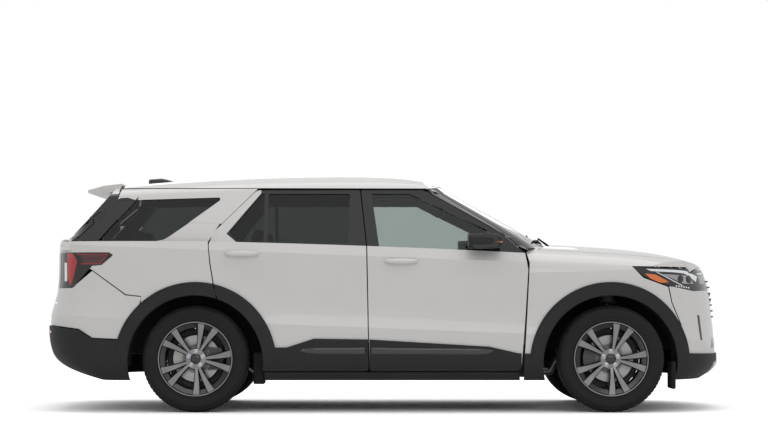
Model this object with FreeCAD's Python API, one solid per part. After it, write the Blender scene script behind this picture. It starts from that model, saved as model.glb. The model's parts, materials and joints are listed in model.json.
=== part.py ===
"""A three-row sport utility vehicle, parked on its wheels.

Millimetres. +X is the nose, +Y the vehicle's left, +Z up. The origin is on the floor, under the
middle of the vehicle's length and width.

The body is drawn by three smooth skins, each of which can be asked for at any depth under its
surface: the hull (sides, nose and tail), the deck (bonnet and wing tops) and the cabin (side
windows and roof). A panel is the layer between two depths inside an outline seen from the side.
"""

import FreeCAD
import Part
import math
import os

os.makedirs("parts", exist_ok=True)

# Overall sizes
length = 5045.0
wheelbase = 3025.0
front_overhang = 880.0
tyre_radius = 388.0
tyre_width = 255.0
track = 1700.0
overrun = 60.0

half_length = length / 2
front_axle_x = half_length - front_overhang
rear_axle_x = front_axle_x - wheelbase
wheel_y = track / 2

# Clearances
shut_gap = 8.0
seat_gap = 0.3
running_gap = 6.0

# Thicknesses, each measured inwards from the outer skin
door_skin = 8.0
door_thickness = 70.0
door_step = 36.0
wing_thickness = 12.0
pillar_outer = 125.0
pillar_inner = 165.0
post_outer = 95.0
post_inner = 140.0
frame_thickness = 42.0
frame_skin = 12.0
frame_step = 14.0
roof_thickness = 34.0
bonnet_thickness = 28.0
bumper_thickness = 30.0
gate_thickness = 80.0
glass_thickness = 5.0
glass_depth = 7.0
trim_stand = 12.0

# Wheel arches: the opening in the trims and the painted edge around them
arch_centre_z = 356.0
arch_inner_radius = 494.0
arch_outer_radius = 592.0

# The hull: rows from the sill to above the waist, each with its height at mid-length, half width,
# nose and tail positions along X, and how much of the waist's forward slope it takes
waist_slope = 0.0385
sill_row = (232.0, 915.0, 2390.0, -2120.0, 0.0, 0.0)
low_row = (310.0, 962.0, 2522.5, -2430.0, 0.0, 0.5)
lower_row = (420.0, 976.0, 2522.5, -2522.5, 0.3, 1.0)
trim_row = (530.0, 978.0, 2518.0, -2522.5, 0.8, 1.0)
lower_crease_row = (612.0, 986.0, 2512.0, -2516.0, 1.0, 1.0)
valley_row = (680.0, 967.0, 2508.0, -2500.0, 1.0, 1.0)
flank_low_row = (770.0, 963.0, 2500.0, -2470.0, 1.0, 1.0)
flank_row = (880.0, 967.0, 2490.0, -2458.0, 1.0, 0.7)
flank_high_row = (990.0, 977.0, 2478.0, -2455.0, 1.0, 0.3)
shoulder_low_row = (1080.0, 983.0, 2450.0, -2455.0, 1.0, 0.0)
shoulder_row = (1132.0, 983.0, 2420.0, -2452.0, 1.0, 0.0)
waist_row = (1200.0, 950.0, 2390.0, -2440.0, 1.0, 0.0)
top_row = (1330.0, 884.0, 2340.0, -2330.0, 1.0, 0.0)
lower_band = [sill_row, low_row, lower_row, trim_row, lower_crease_row]
middle_band = [
    lower_crease_row,
    valley_row,
    flank_low_row,
    flank_row,
    flank_high_row,
    shoulder_low_row,
    shoulder_row,
]
upper_band = [shoulder_row, waist_row, top_row]

# The hull's plan: rounded ends of superellipse form, and a slightly barrelled side between them
nose_start_x = 1700.0
nose_power = 2.7
tail_start_x = -1822.0
tail_power = 4.2
corner_angles = [0.0, 12.0, 27.0, 45.0, 63.0, 78.0]
side_stations = 17
barrel_share = 0.018
arch_half_width = 988.0
flare_reach = 430.0

# The deck over the bonnet: the middle line's height at places along X, and the section's form
deck_line = [
    (850.0, 1262.0),
    (1180.0, 1244.0),
    (1400.0, 1236.0),
    (1640.0, 1220.0),
    (1850.0, 1204.0),
    (2050.0, 1178.0),
    (2220.0, 1140.0),
    (2340.0, 1098.0),
    (2420.0, 1030.0),
    (2480.0, 940.0),
    (2560.0, 800.0),
    (2640.0, 660.0),
]
deck_base_z = 620.0
deck_foot_z = 150.0
deck_half_width = 1000.0
deck_power = 6.0
deck_crown = 34.0

# The cabin: waist, side window top and roof middle line
waist_height = 1205.8
waist_fall = 0.0382
waist_curve = 6.6e-6
cabin_waist_half = 926.0
cabin_top_half = 722.0
cabin_top_z = 1630.0
cabin_foot_z = 1060.0
side_bulge = 13.0
roof_line = [
    (-2520.0, 1600.0),
    (-2250.0, 1648.0),
    (-1960.0, 1686.0),
    (-1500.0, 1724.0),
    (-1000.0, 1752.0),
    (-500.0, 1764.0),
    (-100.0, 1762.0),
    (150.0, 1750.0),
    (330.0, 1716.0),
    (480.0, 1668.0),
    (700.0, 1590.0),
    (1400.0, 1340.0),
]
roof_rise = 76.0
roof_drop_rear = 60.0
roof_drop_start = 750.0
roof_drop_reach = 1500.0
rail_inset_share = 0.4
cabin_taper_share = 0.03

# Windscreen and rear window: a point on the middle line, the slope and the plan radius
screen_x = 430.0
screen_z = 1674.0
screen_slope = 29.4
screen_radius = 1750.0
backlight_x = -2402.0
backlight_z = 1272.0
backlight_slope = 47.5
backlight_radius = 3600.0

Z_AXIS = FreeCAD.Vector(0, 0, 1)
Y_AXIS = FreeCAD.Vector(0, 1, 0)
X_AXIS = FreeCAD.Vector(1, 0, 0)


def vec(x, y, z):
    return FreeCAD.Vector(x, y, z)


def waist_z(x):
    """Height of the waist line, where the side windows start."""
    return waist_height - waist_fall * x - waist_curve * x * x


def surface_of(rows):
    """A cubic surface whose control points are the rows, met exactly at its four edges."""

    def knots(count, degree):
        spans = count - degree
        mults = [degree + 1] + [1] * (spans - 1) + [degree + 1]
        return mults, [float(k) for k in range(spans + 1)]

    u_degree = min(3, len(rows) - 1)
    v_degree = min(3, len(rows[0]) - 1)
    u_mults, u_knots = knots(len(rows), u_degree)
    v_mults, v_knots = knots(len(rows[0]), v_degree)
    surface = Part.BSplineSurface()
    surface.buildFromPolesMultsKnots(
        rows, u_mults, v_mults, u_knots, v_knots, False, False, u_degree, v_degree
    )
    return surface.toShape()


def solid_of(faces):
    """A closed solid sewn from faces that share their edges."""
    shell = Part.Shell(faces)
    if not shell.isClosed():
        shape = Part.Compound(faces)
        shape.sewShape()
        shell = shape.Shells[0]
    solid = Part.Solid(shell)
    if solid.Volume < 0:
        solid.reverse()
    return solid


def mirrored(shape):
    """The same shape on the other side of the vehicle."""
    return shape.mirror(vec(0, 0, 0), Y_AXIS)


def hull_row(row, inset):
    """Control points of one hull row on the left side, from the tail's middle to the nose's."""
    height, half, nose_x, tail_x, slope_share, flare_share = row
    half -= inset
    nose_x -= inset
    tail_x += inset
    points = []

    def place(x, y):
        z = height - waist_slope * slope_share * x
        points.append(vec(x, y, z))

    for angle in corner_angles:
        turn = math.radians(angle)
        x = tail_start_x + (tail_x - tail_start_x) * math.cos(turn) ** (2 / tail_power)
        place(x, half * math.sin(turn) ** (2 / tail_power))
    for k in range(side_stations + 1):
        x = tail_start_x + (nose_start_x - tail_start_x) * k / side_stations
        middle = (tail_start_x + nose_start_x) / 2
        share = (x - middle) / (nose_start_x - middle)
        y = half * (1 - barrel_share * share * share)
        bell = 0.0
        for axle in (front_axle_x, rear_axle_x):
            bell += math.exp(-(((x - axle) / flare_reach) ** 2))
        place(x, y + (arch_half_width - inset - y) * bell * flare_share)
    for angle in reversed(corner_angles):
        turn = math.radians(angle)
        x = nose_start_x + (nose_x - nose_start_x) * math.cos(turn) ** (2 / nose_power)
        y = half * (1 - barrel_share) * math.sin(turn) ** (2 / nose_power)
        place(x, y)
    return points


def hull(inset):
    """The solid inside the hull skin, at a depth under it."""
    sides = []
    for band in (lower_band, middle_band, upper_band):
        sides.append(surface_of([hull_row(row, inset) for row in band]))
    faces = sides + [mirrored(face) for face in sides]
    for row in (sill_row, top_row):
        points = hull_row(row, inset)
        edge = surface_of([points, [p + vec(0, 0, overrun) for p in points]])
        curve = edge.Surface.uIso(0.0).toShape()
        faces.append(Part.Face(Part.Wire([curve, mirrored(curve)])))
    return solid_of(faces)


def lined(points, inset):
    """Heights of a middle line, lowered by a depth."""
    return [(x, z - inset) for x, z in points]


def deck(inset):
    """The solid under the bonnet and wing tops, at a depth under their surface."""
    half = deck_half_width - inset
    angles = [90.0, 75.0, 60.0, 45.0, 30.0, 16.0, 0.0]
    rows = []
    for x, top in lined(deck_line, inset):
        row = [vec(x, half, deck_foot_z)]
        for angle in angles:
            turn = math.radians(angle)
            across = math.sin(turn) ** (2 / deck_power)
            up = math.cos(turn) ** (2 / deck_power)
            z = deck_base_z + (top - deck_crown * across * across - deck_base_z) * up
            row.append(vec(x, half * across, z))
        rows.append(row)
    return tube_solid(rows)


def tube_solid(rows):
    """A solid from half sections along X: each row runs from its foot up to the middle line."""
    side = surface_of(rows)
    faces = [side, mirrored(side)]
    surface = side.Surface
    ends = [surface.uIso(surface.getUKnot(1)), surface.uIso(surface.getUKnot(surface.NbUKnots))]
    for curve, row in zip(ends, (rows[0], rows[-1])):
        edge = curve.toShape()
        foot = Part.LineSegment(row[0], vec(row[0].x, -row[0].y, row[0].z)).toShape()
        faces.append(Part.Face(Part.Wire(Part.__sortEdges__([edge, foot, mirrored(edge)]))))
    foot = surface.vIso(surface.getVKnot(1)).toShape()
    first, last = rows[0][0], rows[-1][0]
    across = [
        Part.LineSegment(p, vec(p.x, -p.y, p.z)).toShape() for p in (first, last)
    ]
    loop = Part.__sortEdges__([foot, across[0], mirrored(foot), across[1]])
    faces.append(Part.Face(Part.Wire(loop)))
    return solid_of(faces)


def cabin(inset):
    """The solid inside the cabin skin, above the waist, at a depth under it."""
    full_lean = (cabin_waist_half - cabin_top_half) / (cabin_top_z - waist_height)
    middle = (tail_start_x + nose_start_x) / 2
    rows = []
    for x, top in lined(roof_line, inset):
        taper = 1 - cabin_taper_share * ((x - middle) / nose_start_x) ** 2
        waist_half = cabin_waist_half * taper - inset
        drop = 0.0
        if x < -roof_drop_start:
            drop = roof_drop_rear * min(1.0, (-roof_drop_start - x) / roof_drop_reach)
        rail_z = min(cabin_top_z - drop, top + inset - roof_rise) - inset * rail_inset_share

        def side(z, bulge):
            return vec(x, waist_half - full_lean * (z - waist_height) + bulge, z)

        height = rail_z - waist_height
        rise = top - rail_z
        rail_half = waist_half - full_lean * height
        rows.append(
            [
                side(cabin_foot_z, -side_bulge),
                side(waist_height, 0.0),
                side(waist_height + height * 0.35, side_bulge),
                side(waist_height + height * 0.7, side_bulge),
                side(waist_height + height * 0.93, side_bulge * 0.6),
                vec(x, rail_half - full_lean * rise * 0.2, rail_z + rise * 0.42),
                vec(x, rail_half - rise * 1.3, rail_z + rise * 0.8),
                vec(x, rail_half * 0.6, rail_z + rise * 0.955),
                vec(x, rail_half * 0.28, top),
                vec(x, 0, top),
            ]
        )
    return tube_solid(rows)


def profile(items):
    """A face in the XZ plane. An item is a corner (x, z), a rounded one (x, z, radius), or the
    middle and end points of an arc that starts at the corner before it."""
    corners = []
    for item in items:
        if isinstance(item, list):
            corners.append(([vec(x, 0, z) for x, z in item], 0.0))
        else:
            corners.append(([vec(item[0], 0, item[1])], item[2] if len(item) == 3 else 0.0))
    count = len(corners)

    def arc_at(k):
        """The rounding of a corner, as its three points."""
        (corner,), radius = corners[k % count]
        into = (corner - corners[(k - 1) % count][0][-1]).normalize()
        out = (corners[(k + 1) % count][0][0] - corner).normalize()
        half_turn = into.getAngle(out) / 2
        back = radius * math.tan(half_turn)
        middle = corner + (out - into).normalize() * (radius / math.cos(half_turn) - radius)
        return corner - into * back, middle, corner + out * back

    edges = []
    here = arc_at(0)[2] if corners[0][1] else corners[0][0][-1]
    for k in range(1, count + 1):
        points, radius = corners[k % count]
        if len(points) > 1:
            edges.append(Part.Arc(here, *points).toShape())
            here = points[-1]
            continue
        start, middle, stop = arc_at(k) if radius else (points[0], None, points[0])
        if not here.isEqual(start, seat_gap / 10):
            edges.append(Part.LineSegment(here, start).toShape())
        if radius:
            edges.append(Part.Arc(start, middle, stop).toShape())
        here = stop
    return Part.Face(Part.Wire(edges))


def side_prism(items, margin=0.0, near=0.0, far=1300.0):
    """An outline seen from the side, drawn in by a margin and swept across the left side."""
    face = profile(items)
    if margin:
        face = face.makeOffset2D(-margin)
    face.translate(vec(0, near, 0))
    return face.extrude(vec(0, far - near, 0))


def plan_prism(points, low, high):
    """An outline seen from above, swept upwards."""
    corners = [vec(x, y, low) for x, y in points]
    face = Part.Face(Part.makePolygon(corners + corners[:1]))
    return face.extrude(vec(0, 0, high - low))


def block(x0, x1, y0, y1, z0, z1):
    return Part.makeBox(x1 - x0, y1 - y0, z1 - z0, vec(x0, y0, z0))


def cross_rod(x, y0, y1, z, radius):
    """A round bar along Y."""
    return Part.makeCylinder(radius, y1 - y0, vec(x, y0, z), Y_AXIS)


SKINS = {}


def skin(form, depth):
    """A skin's solid at a depth, made once."""
    key = (form.__name__, depth)
    if key not in SKINS:
        SKINS[key] = form(depth)
    return SKINS[key]


def layer(form, outer, inner, region):
    """What lies between two depths of a skin, inside a region."""
    return skin(form, outer).common(region).cut(skin(form, inner))


def nose_body(depth):
    """Hull and deck together, which bound the bonnet, wings and front bumper."""
    return skin(hull, depth).common(skin(deck, depth))


def screen_face(x, z, slope, radius, depth, forward):
    """The solid behind a window that is curved in plan and leans along a slope."""
    tilt = math.radians(slope)
    x = x - forward * depth / math.sin(tilt)
    half = cabin_waist_half + overrun
    bow = radius - math.sqrt(radius * radius - half * half)
    reach = length / 2
    arc = Part.Arc(
        vec(x - forward * bow, -half, z), vec(x, 0, z), vec(x - forward * bow, half, z)
    ).toShape()
    far = x - forward * reach
    loop = [
        arc,
        Part.LineSegment(vec(x - forward * bow, half, z), vec(far, half, z)).toShape(),
        Part.LineSegment(vec(far, half, z), vec(far, -half, z)).toShape(),
        Part.LineSegment(vec(far, -half, z), vec(x - forward * bow, -half, z)).toShape(),
    ]
    face = Part.Face(Part.Wire(loop))
    down = vec(forward * math.cos(tilt), 0, -math.sin(tilt))
    face.translate(down * -reach)
    return face.extrude(down * (reach * 2))


def screen(depth):
    """The solid behind the windscreen's surface."""
    return screen_face(screen_x, screen_z, screen_slope, screen_radius, depth, 1)


def backlight(depth):
    """The solid ahead of the rear window's surface."""
    return screen_face(
        backlight_x, backlight_z, backlight_slope, backlight_radius, depth, -1
    )


# Outlines seen from the side, each a list of corners (x, z) or rounded corners (x, z, radius)
frame_top_z = 1628.0


def arch_hole(axle_x, radius):
    """The round space of a wheel arch, right across the vehicle."""
    return cross_rod(axle_x, -half_width_room, half_width_room, arch_centre_z, radius)


half_width_room = 1300.0
NODES = {}


def node(name, shapes):
    NODES[name] = shapes


def both(shape):
    """A left-hand piece and its mirror image."""
    return [shape, mirrored(shape)]


# Doors
front_outline = [
    (988.0, 300.0, 40.0),
    (1021.0, 726.0),
    (1040.0, 1037.0),
    (1019.0, 1158.0),
    (842.0, 1311.0, 200.0),
    (284.0, 1628.0, 90.0),
    (-180.0, 1628.0, 12.0),
    (-132.0, 1207.0),
    (-114.0, 300.0, 20.0),
]
front_window = [
    (770.0, 1100.0),
    (770.0, 1200.0),
    (750.0, 1325.0, 14.0),
    (179.0, 1600.0, 40.0),
    (-102.0, 1600.0, 12.0),
    (-45.0, 1207.0),
    (-45.0, 1100.0),
]
rear_outline = [
    (-122.0, 300.0, 20.0),
    (-140.0, 1207.0),
    (-188.0, 1628.0, 12.0),
    (-950.0, 1628.0, 60.0),
    (-1268.0, 1304.0, 60.0),
    (-1288.0, 1220.0),
    (-1274.0, 1089.0),
    (-1250.0, 944.0),
    (-1210.0, 780.0),
    (-1400.0, 356.0),
    (-880.0, 300.0, 20.0),
]
rear_window = [
    (-275.0, 1100.0),
    (-262.0, 1600.0, 12.0),
    (-862.0, 1600.0, 12.0),
    (-868.0, 1100.0),
]
rear_light = [
    (-892.0, 1100.0),
    (-890.0, 1600.0, 10.0),
    (-915.0, 1600.0, 10.0),
    (-1150.0, 1305.0, 14.0),
    (-1060.0, 1225.0),
    (-1060.0, 1100.0),
]
rear_frame_back = [
    (-918.0, 1700.0),
    (-918.0, 1606.0),
    (-1165.0, 1302.0),
    (-1072.0, 1225.0),
    (-1072.0, 1100.0),
    (-1400.0, 1100.0),
    (-1400.0, 1700.0),
]


def waist_room():
    """All that lies below the waist line, as one prism whose top edge is an arc."""
    x0, x1 = -half_length, half_length / 2
    top = [(x, waist_z(x)) for x in (x0, (x0 + x1) / 2, x1)]
    return side_prism([(x1, 0.0), (x0, 0.0), top[0], top[1:]], 0.0, -half_width_room)


below_waist = waist_room()
front_hinge_x = 928.0
front_hinge_y = 950.0
rear_hinge_x = -228.0
rear_hinge_y = 957.0
hinge_heights = [640.0, 985.0]
hinge_pin_radius = 5.0
hinge_boss_radius = 10.0
hinge_height = 26.0
hinge_arm = 16.0
hinge_reach = 132.0
pocket_room = 3.5
cladding_front_line = [(990.0, 429.0), (963.0, 431.0), (754.0, 478.0), (-115.0, 530.0)]
cladding_rear_line = [(-115.0, 530.0), (-520.0, 536.0), (-717.0, 472.0), (-1400.0, 472.0)]


def door(outline, hinge_x, hinge_y, extra, front_x):
    """The painted door below the waist: an outer skin to the full outline, an inner body stepped
    in, two pockets with hinge pins, and the painted part of its window frame."""
    outer = layer(hull, 0.0, door_skin, side_prism(outline).common(below_waist))
    inner_region = side_prism(outline, door_step).common(below_waist)
    inner = layer(hull, door_skin / 2, door_thickness, inner_region)
    shape = outer.fuse([inner] + extra)
    for z in hinge_heights:
        half = hinge_height / 2 + pocket_room
        room = hinge_boss_radius + pocket_room
        pocket = block(
            hinge_x - room, front_x, hinge_y - hinge_reach, hinge_y + room, z - half, z + half
        )
        pin = Part.makeCylinder(
            hinge_pin_radius, half * 2 + running_gap, vec(hinge_x, hinge_y, z - half - running_gap / 2)
        )
        shape = shape.cut(pocket).fuse(pin)
    return shape


def hinge_lugs(hinge_x, hinge_y):
    """Two eyes on arms that reach out from the pillar into the door's pockets."""
    lugs = []
    for z in hinge_heights:
        low = z - hinge_height / 2
        boss = Part.makeCylinder(hinge_boss_radius, hinge_height, vec(hinge_x, hinge_y, low))
        arm = block(
            hinge_x - hinge_arm / 2,
            hinge_x + hinge_arm / 2,
            hinge_y - hinge_reach,
            hinge_y,
            low,
            low + hinge_height,
        )
        bore = Part.makeCylinder(
            hinge_pin_radius + seat_gap, hinge_height * 2, vec(hinge_x, hinge_y, z - hinge_height)
        )
        lugs.append(boss.fuse(arm).cut(bore))
    return lugs


def window_frame(outline, cut_x):
    """The frame round a door's windows, before the panes are cut."""
    outer = layer(cabin, 0.0, frame_skin, side_prism(outline).cut(below_waist))
    inner_region = side_prism(outline, frame_step).cut(below_waist)
    inner_region = inner_region.common(
        block(-half_length, cut_x, 0, half_width_room, 0, 2 * frame_top_z)
    )
    return outer.fuse(layer(cabin, frame_skin / 2, frame_thickness, inner_region))


def panes_of(outlines):
    """Side glass that fills window openings."""
    panes = []
    for pane in outlines:
        region = side_prism(pane, seat_gap).cut(below_waist)
        panes.append(layer(cabin, glass_depth, glass_depth + glass_thickness, region))
    return panes


def cladding(outline, top_line):
    """The black cladding that stands out over a door's foot."""
    low = sill_row[0] / 2
    region = side_prism([(top_line[0][0], low)] + top_line + [(top_line[-1][0], low)])
    outer = layer(hull, -trim_stand, -seat_gap, side_prism(outline))
    return outer.common(region)


front_arch = arch_hole(front_axle_x, arch_inner_radius)
rear_arch = arch_hole(rear_axle_x, arch_inner_radius + seat_gap)
front_arch_paint = arch_hole(front_axle_x, arch_outer_radius)
rear_arch_paint = arch_hole(rear_axle_x, arch_outer_radius)

rear_band = side_prism(rear_frame_back)
rear_whole_frame = window_frame(rear_outline, -200.0)
rear_whole_frame = rear_whole_frame.cut(side_prism(rear_window)).cut(side_prism(rear_light))
front_frame = window_frame(front_outline, 900.0).cut(side_prism(front_window))
rear_frame = rear_whole_frame.cut(rear_band)
rear_upper_paint = rear_whole_frame.common(rear_band)
front_door = door(front_outline, front_hinge_x, front_hinge_y, [], 1100.0)
rear_door = door(rear_outline, rear_hinge_x, rear_hinge_y, [rear_upper_paint], -60.0)
rear_door = rear_door.cut(rear_arch)
front_clad = cladding(front_outline, cladding_front_line)
rear_clad = cladding(rear_outline, cladding_rear_line).fuse(
    layer(hull, -trim_stand, -seat_gap, side_prism(rear_outline)).common(rear_arch_paint)
)
rear_clad = rear_clad.cut(rear_arch)

# Mirrors
def mirror_piece():
    """A door mirror: a rounded housing on a foot that stands on the window frame's front corner."""
    face = profile(
        [(640.0, 1190.0, 22.0), (612.0, 1290.0, 34.0), (800.0, 1296.0, 60.0), (842.0, 1200.0, 40.0)]
    )
    face.translate(vec(0, 940.0, 0))
    head = face.extrude(vec(0, 190.0, 0))
    foot = block(782.0, 838.0, 880.0, 960.0, 1196.0, 1222.0)
    return head.fuse(foot)


mirror = mirror_piece()

for name, sign in (("left", 1), ("right", -1)):
    def put(shape):
        return shape if sign > 0 else mirrored(shape)

    node("door_front_" + name, [put(front_door)])
    node("door_rear_" + name, [put(rear_door)])
    node("door_trim_front_" + name, [put(front_frame.fuse(mirror)), put(front_clad)])
    node("door_trim_rear_" + name, [put(rear_frame), put(rear_clad)])
    node("glass_front_" + name, [put(shape) for shape in panes_of([front_window])])
    node("glass_rear_" + name, [put(shape) for shape in panes_of([rear_window, rear_light])])

# Body side structure
opening_step = 66.0
front_opening = side_prism(front_outline, opening_step)
rear_opening = side_prism(rear_outline, opening_step)
side_low = [
    (-2300.0, 420.0),
    (-2300.0, 1310.0),
    (1130.0, 1200.0),
    (1130.0, 420.0),
    (1080.0, 250.0),
    (-1000.0, 250.0),
]
side_high = [
    (-2310.0, 1180.0),
    (-2100.0, 1560.0),
    (-1900.0, 1690.0),
    (300.0, 1690.0),
    (560.0, 1600.0),
    (1090.0, 1240.0),
    (1090.0, 1100.0),
]
quarter_window = [
    (-1840.0, 1556.0, 20.0),
    (-1190.0, 1575.0, 14.0),
    (-1600.0, 1268.0, 30.0),
    (-1690.0, 1246.0, 30.0),
    (-2095.0, 1252.0, 14.0),
]
wheelhouse_cut = cross_rod(
    rear_axle_x, 600.0, half_width_room, arch_centre_z, arch_inner_radius + trim_stand
)
front_house_cut = cross_rod(
    front_axle_x, 600.0, half_width_room, arch_centre_z, arch_inner_radius + trim_stand
)


frame_low_y = 640.0
frame_high_y = 580.0
roof_seat_band = [(-1900.0, 1636.0), (-1900.0, 1668.0), (240.0, 1668.0), (240.0, 1636.0)]
roof_link_band = [(-1900.0, 1590.0), (-1900.0, 1668.0), (240.0, 1668.0), (240.0, 1590.0)]
roof_link_depth = 62.0
quarter_seat_band = [(-1850.0, 1594.0), (-1850.0, 1636.0), (-1120.0, 1636.0), (-1120.0, 1594.0)]


def panel_seats():
    """Flanges that reach out from the frame to carry the wing, quarter panel and roof."""
    wing_seat = block(1056.0, 1130.0, 0, 1300, 440, 1075)
    quarter_seat = block(-1780.0, -1720.0, 0, 1300, 900, 1200)
    return [
        layer(hull, wing_thickness + seat_gap, pillar_inner, wing_seat),
        layer(hull, wing_thickness + seat_gap, pillar_inner, quarter_seat),
        layer(
            cabin, wing_thickness + seat_gap, post_inner,
            side_prism(quarter_seat_band, 0.0, frame_high_y),
        ),
        layer(
            cabin, roof_thickness + seat_gap, post_inner,
            side_prism(roof_seat_band, 0.0, frame_high_y),
        ),
        layer(
            cabin, roof_link_depth, post_inner,
            side_prism(roof_link_band, 0.0, frame_high_y),
        ),
    ]


def side_frame():
    """Sill, pillars and roof rail of the left side in one piece, with the hinge eyes."""
    low_room = side_prism(side_low, 0.0, frame_low_y)
    high_room = side_prism(side_high, 0.0, frame_high_y)
    low = layer(hull, pillar_outer, pillar_inner, low_room)
    high = layer(cabin, post_outer, post_inner, high_room).common(skin(screen, 60.0))
    high = high.common(skin(backlight, 90.0))
    shape = low.fuse(high).cut(front_opening).cut(rear_opening)
    shape = shape.cut(side_prism(quarter_window, -20.0))
    door_posts = [
        block(895.0, 1130.0, 0, 1300, 430, 1075),
        block(-250.0, -62.0, 0, 1300, 250, 1150),
    ]
    posts = [layer(hull, pillar_outer, pillar_inner, region) for region in door_posts]
    shape = shape.fuse(posts + panel_seats())
    for lug in hinge_lugs(front_hinge_x, front_hinge_y) + hinge_lugs(rear_hinge_x, rear_hinge_y):
        shape = shape.fuse(lug)
    over_deck = block(1020.0, 1300.0, 0.0, 1300.0, 800.0, 1500.0).cut(
        nose_body(wing_thickness + seat_gap))
    shape = shape.cut(over_deck)
    return shape.cut(wheelhouse_cut).cut(front_house_cut)


node("side_frames", both(side_frame()))

# Outer body panels
bonnet_edge_height = 1000.0
bonnet_front_low = 1050.0
lamp_outline = [
    (1887.0, 985.0, 20.0),
    (1805.0, 1056.0),
    (2026.0, 1052.0),
    (2600.0, 1032.0),
    (2600.0, 895.0),
    (2270.0, 882.0),
    (2075.0, 920.0, 30.0),
]
lamp_inner_y = 478.0
bonnet_plan = [
    (1265.0, 0.0),
    (1256.0, 250.0),
    (1225.0, 500.0),
    (1175.0, 700.0),
    (1130.0, 812.0),
    (1600.0, 820.0),
    (2000.0, 805.0),
    (2260.0, 742.0),
    (2600.0, 560.0),
    (2600.0, 0.0),
]


def grown_plan(points, gap):
    """A plan outline of the left half, moved outwards by a gap."""
    face = Part.Face(Part.makePolygon([vec(x, y, 0) for x, y in points + points[:1]]))
    if gap:
        face = face.makeOffset2D(gap)
    return face


def bonnet_region(gap):
    """The space that the bonnet takes, grown by a gap."""
    half = grown_plan(bonnet_plan, gap)
    plan = half.extrude(vec(0, 0, 2 * half_width_room))
    side = profile(
        [
            (1000.0, bonnet_edge_height - gap),
            (2200.0, bonnet_edge_height - gap),
            (2300.0, bonnet_front_low - gap),
            (2700.0, bonnet_front_low - gap),
            (2700.0, 1500.0),
            (1000.0, 1500.0),
        ]
    )
    side.translate(vec(0, -half_width_room, 0))
    region = side.extrude(vec(0, 2 * half_width_room, 0))
    return plan.fuse(mirrored(plan)).common(region)


bonnet_hinge_x = 1040.0
bonnet_hinge_z = 1140.0
bonnet_hinge_y = 730.0
bonnet_arm = 22.0
bonnet_arm_drop = 60.0
bonnet_arm_reach = 165.0
bonnet_skin = 10.0
bonnet_step = 40.0
bonnet_pin_radius = 7.0
bulkhead_top = 1055.0


def gooseneck(x, z, drop, reach, rise):
    """A U-shaped hinge arm seen from the side: down from its pin, along by a reach and up."""
    way = 1 if reach > 0 else -1
    hub = bonnet_arm * 0.6 * way
    low = z - drop - bonnet_arm / 2
    far = x + reach
    return profile(
        [
            (x - hub, z + abs(hub), abs(hub) * 0.9),
            (x - hub, low, bonnet_arm * 0.9),
            (far + bonnet_arm * way, low, bonnet_arm * 0.9),
            (far + bonnet_arm * way, z + rise),
            (far, z + rise),
            (far, low + bonnet_arm, bonnet_arm * 0.6),
            (x + hub, low + bonnet_arm, bonnet_arm * 0.6),
            (x + hub, z + abs(hub), abs(hub) * 0.9),
        ]
    )


def goosenecks(x, z, y, drop, reach, rise):
    """A pair of hinge arms, and the pin of each."""
    face = gooseneck(x, z, drop, reach, rise)
    arms, pins = [], []
    for place in (-y, y):
        arm = face.copy()
        arm.translate(vec(0, place - bonnet_arm / 2, 0))
        arms.append(arm.extrude(vec(0, bonnet_arm, 0)))
        reach_y = bonnet_arm * 1.6
        pins.append(cross_rod(x, place - reach_y, place + reach_y, z, bonnet_pin_radius))
    return arms, pins


def hinge_forks(x, z, y, x0, x1, z0, z1):
    """Two plates beside each hinge arm, with bores for its pin."""
    plates = []
    for place in (-y, y):
        for step in (-1, 1):
            middle = place + step * (bonnet_arm + 2.0)
            plate = block(x0, x1, middle - 6.0, middle + 6.0, z0, z1)
            plates.append(
                plate.cut(cross_rod(x, middle - 10.0, middle + 10.0, z, bonnet_pin_radius + seat_gap))
            )
    return plates


def bonnet():
    """The bonnet: an outer skin, an inner panel stepped in, and two arms with hinge pins."""
    outer = skin(nose_body, 0.0).common(bonnet_region(0.0)).cut(skin(nose_body, bonnet_skin))
    inner = skin(nose_body, bonnet_skin / 2).common(bonnet_region(-bonnet_step))
    shape = outer.fuse(inner.cut(skin(nose_body, bonnet_thickness)))
    arms, pins = goosenecks(
        bonnet_hinge_x, bonnet_hinge_z, bonnet_hinge_y, bonnet_arm_drop, bonnet_arm_reach, 150.0
    )
    limit = nose_body(bonnet_skin / 2)
    return shape.fuse([arm.common(limit) for arm in arms] + pins)


def bonnet_brackets():
    """Forked brackets behind the bulkhead that hold the bonnet's hinge pins."""
    x, z = bonnet_hinge_x, bonnet_hinge_z
    low = bulkhead_top - 30.0
    pieces = hinge_forks(x, z, bonnet_hinge_y, x - 16.0, x + 16.0, low, z + 14.0)
    for place in (-bonnet_hinge_y, bonnet_hinge_y):
        pieces.append(block(x - 16.0, 1140.0, place - 40.0, place + 40.0, low, bulkhead_top))
    return pieces


def cowl():
    """The dark scuttle between the windscreen and the bonnet."""
    shell = layer(nose_body, 34.0, 44.0, block(1000.0, 1300.0, -700.0, 700.0, 900.0, 1300.0))
    return shell.cut(bonnet_region(-10.0)).cut(skin(screen, 2.0 - seat_gap))


# Wings
wing_outline = [
    (1052.0, 1090.0),
    (1034.0, 726.0),
    (1009.0, 330.0),
    (1300.0, 330.0),
    (2200.0, 330.0),
    (2192.0, 428.0),
    (2162.0, 640.0),
    (2092.0, 800.0),
    (2067.0, 912.0),
    (1880.0, 978.0),
    (1796.0, 1064.0),
    (2300.0, 1058.0),
    (2300.0, 1300.0),
    (1100.0, 1300.0),
    (1034.0, 1160.0),
]
front_low_cut = block(990.0, 3000.0, -1300.0, 1300.0, 0.0, 428.0)
scuttle_room = block(990.0, 1250.0, 0.0, 745.0, 900.0, 1400.0)


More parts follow.
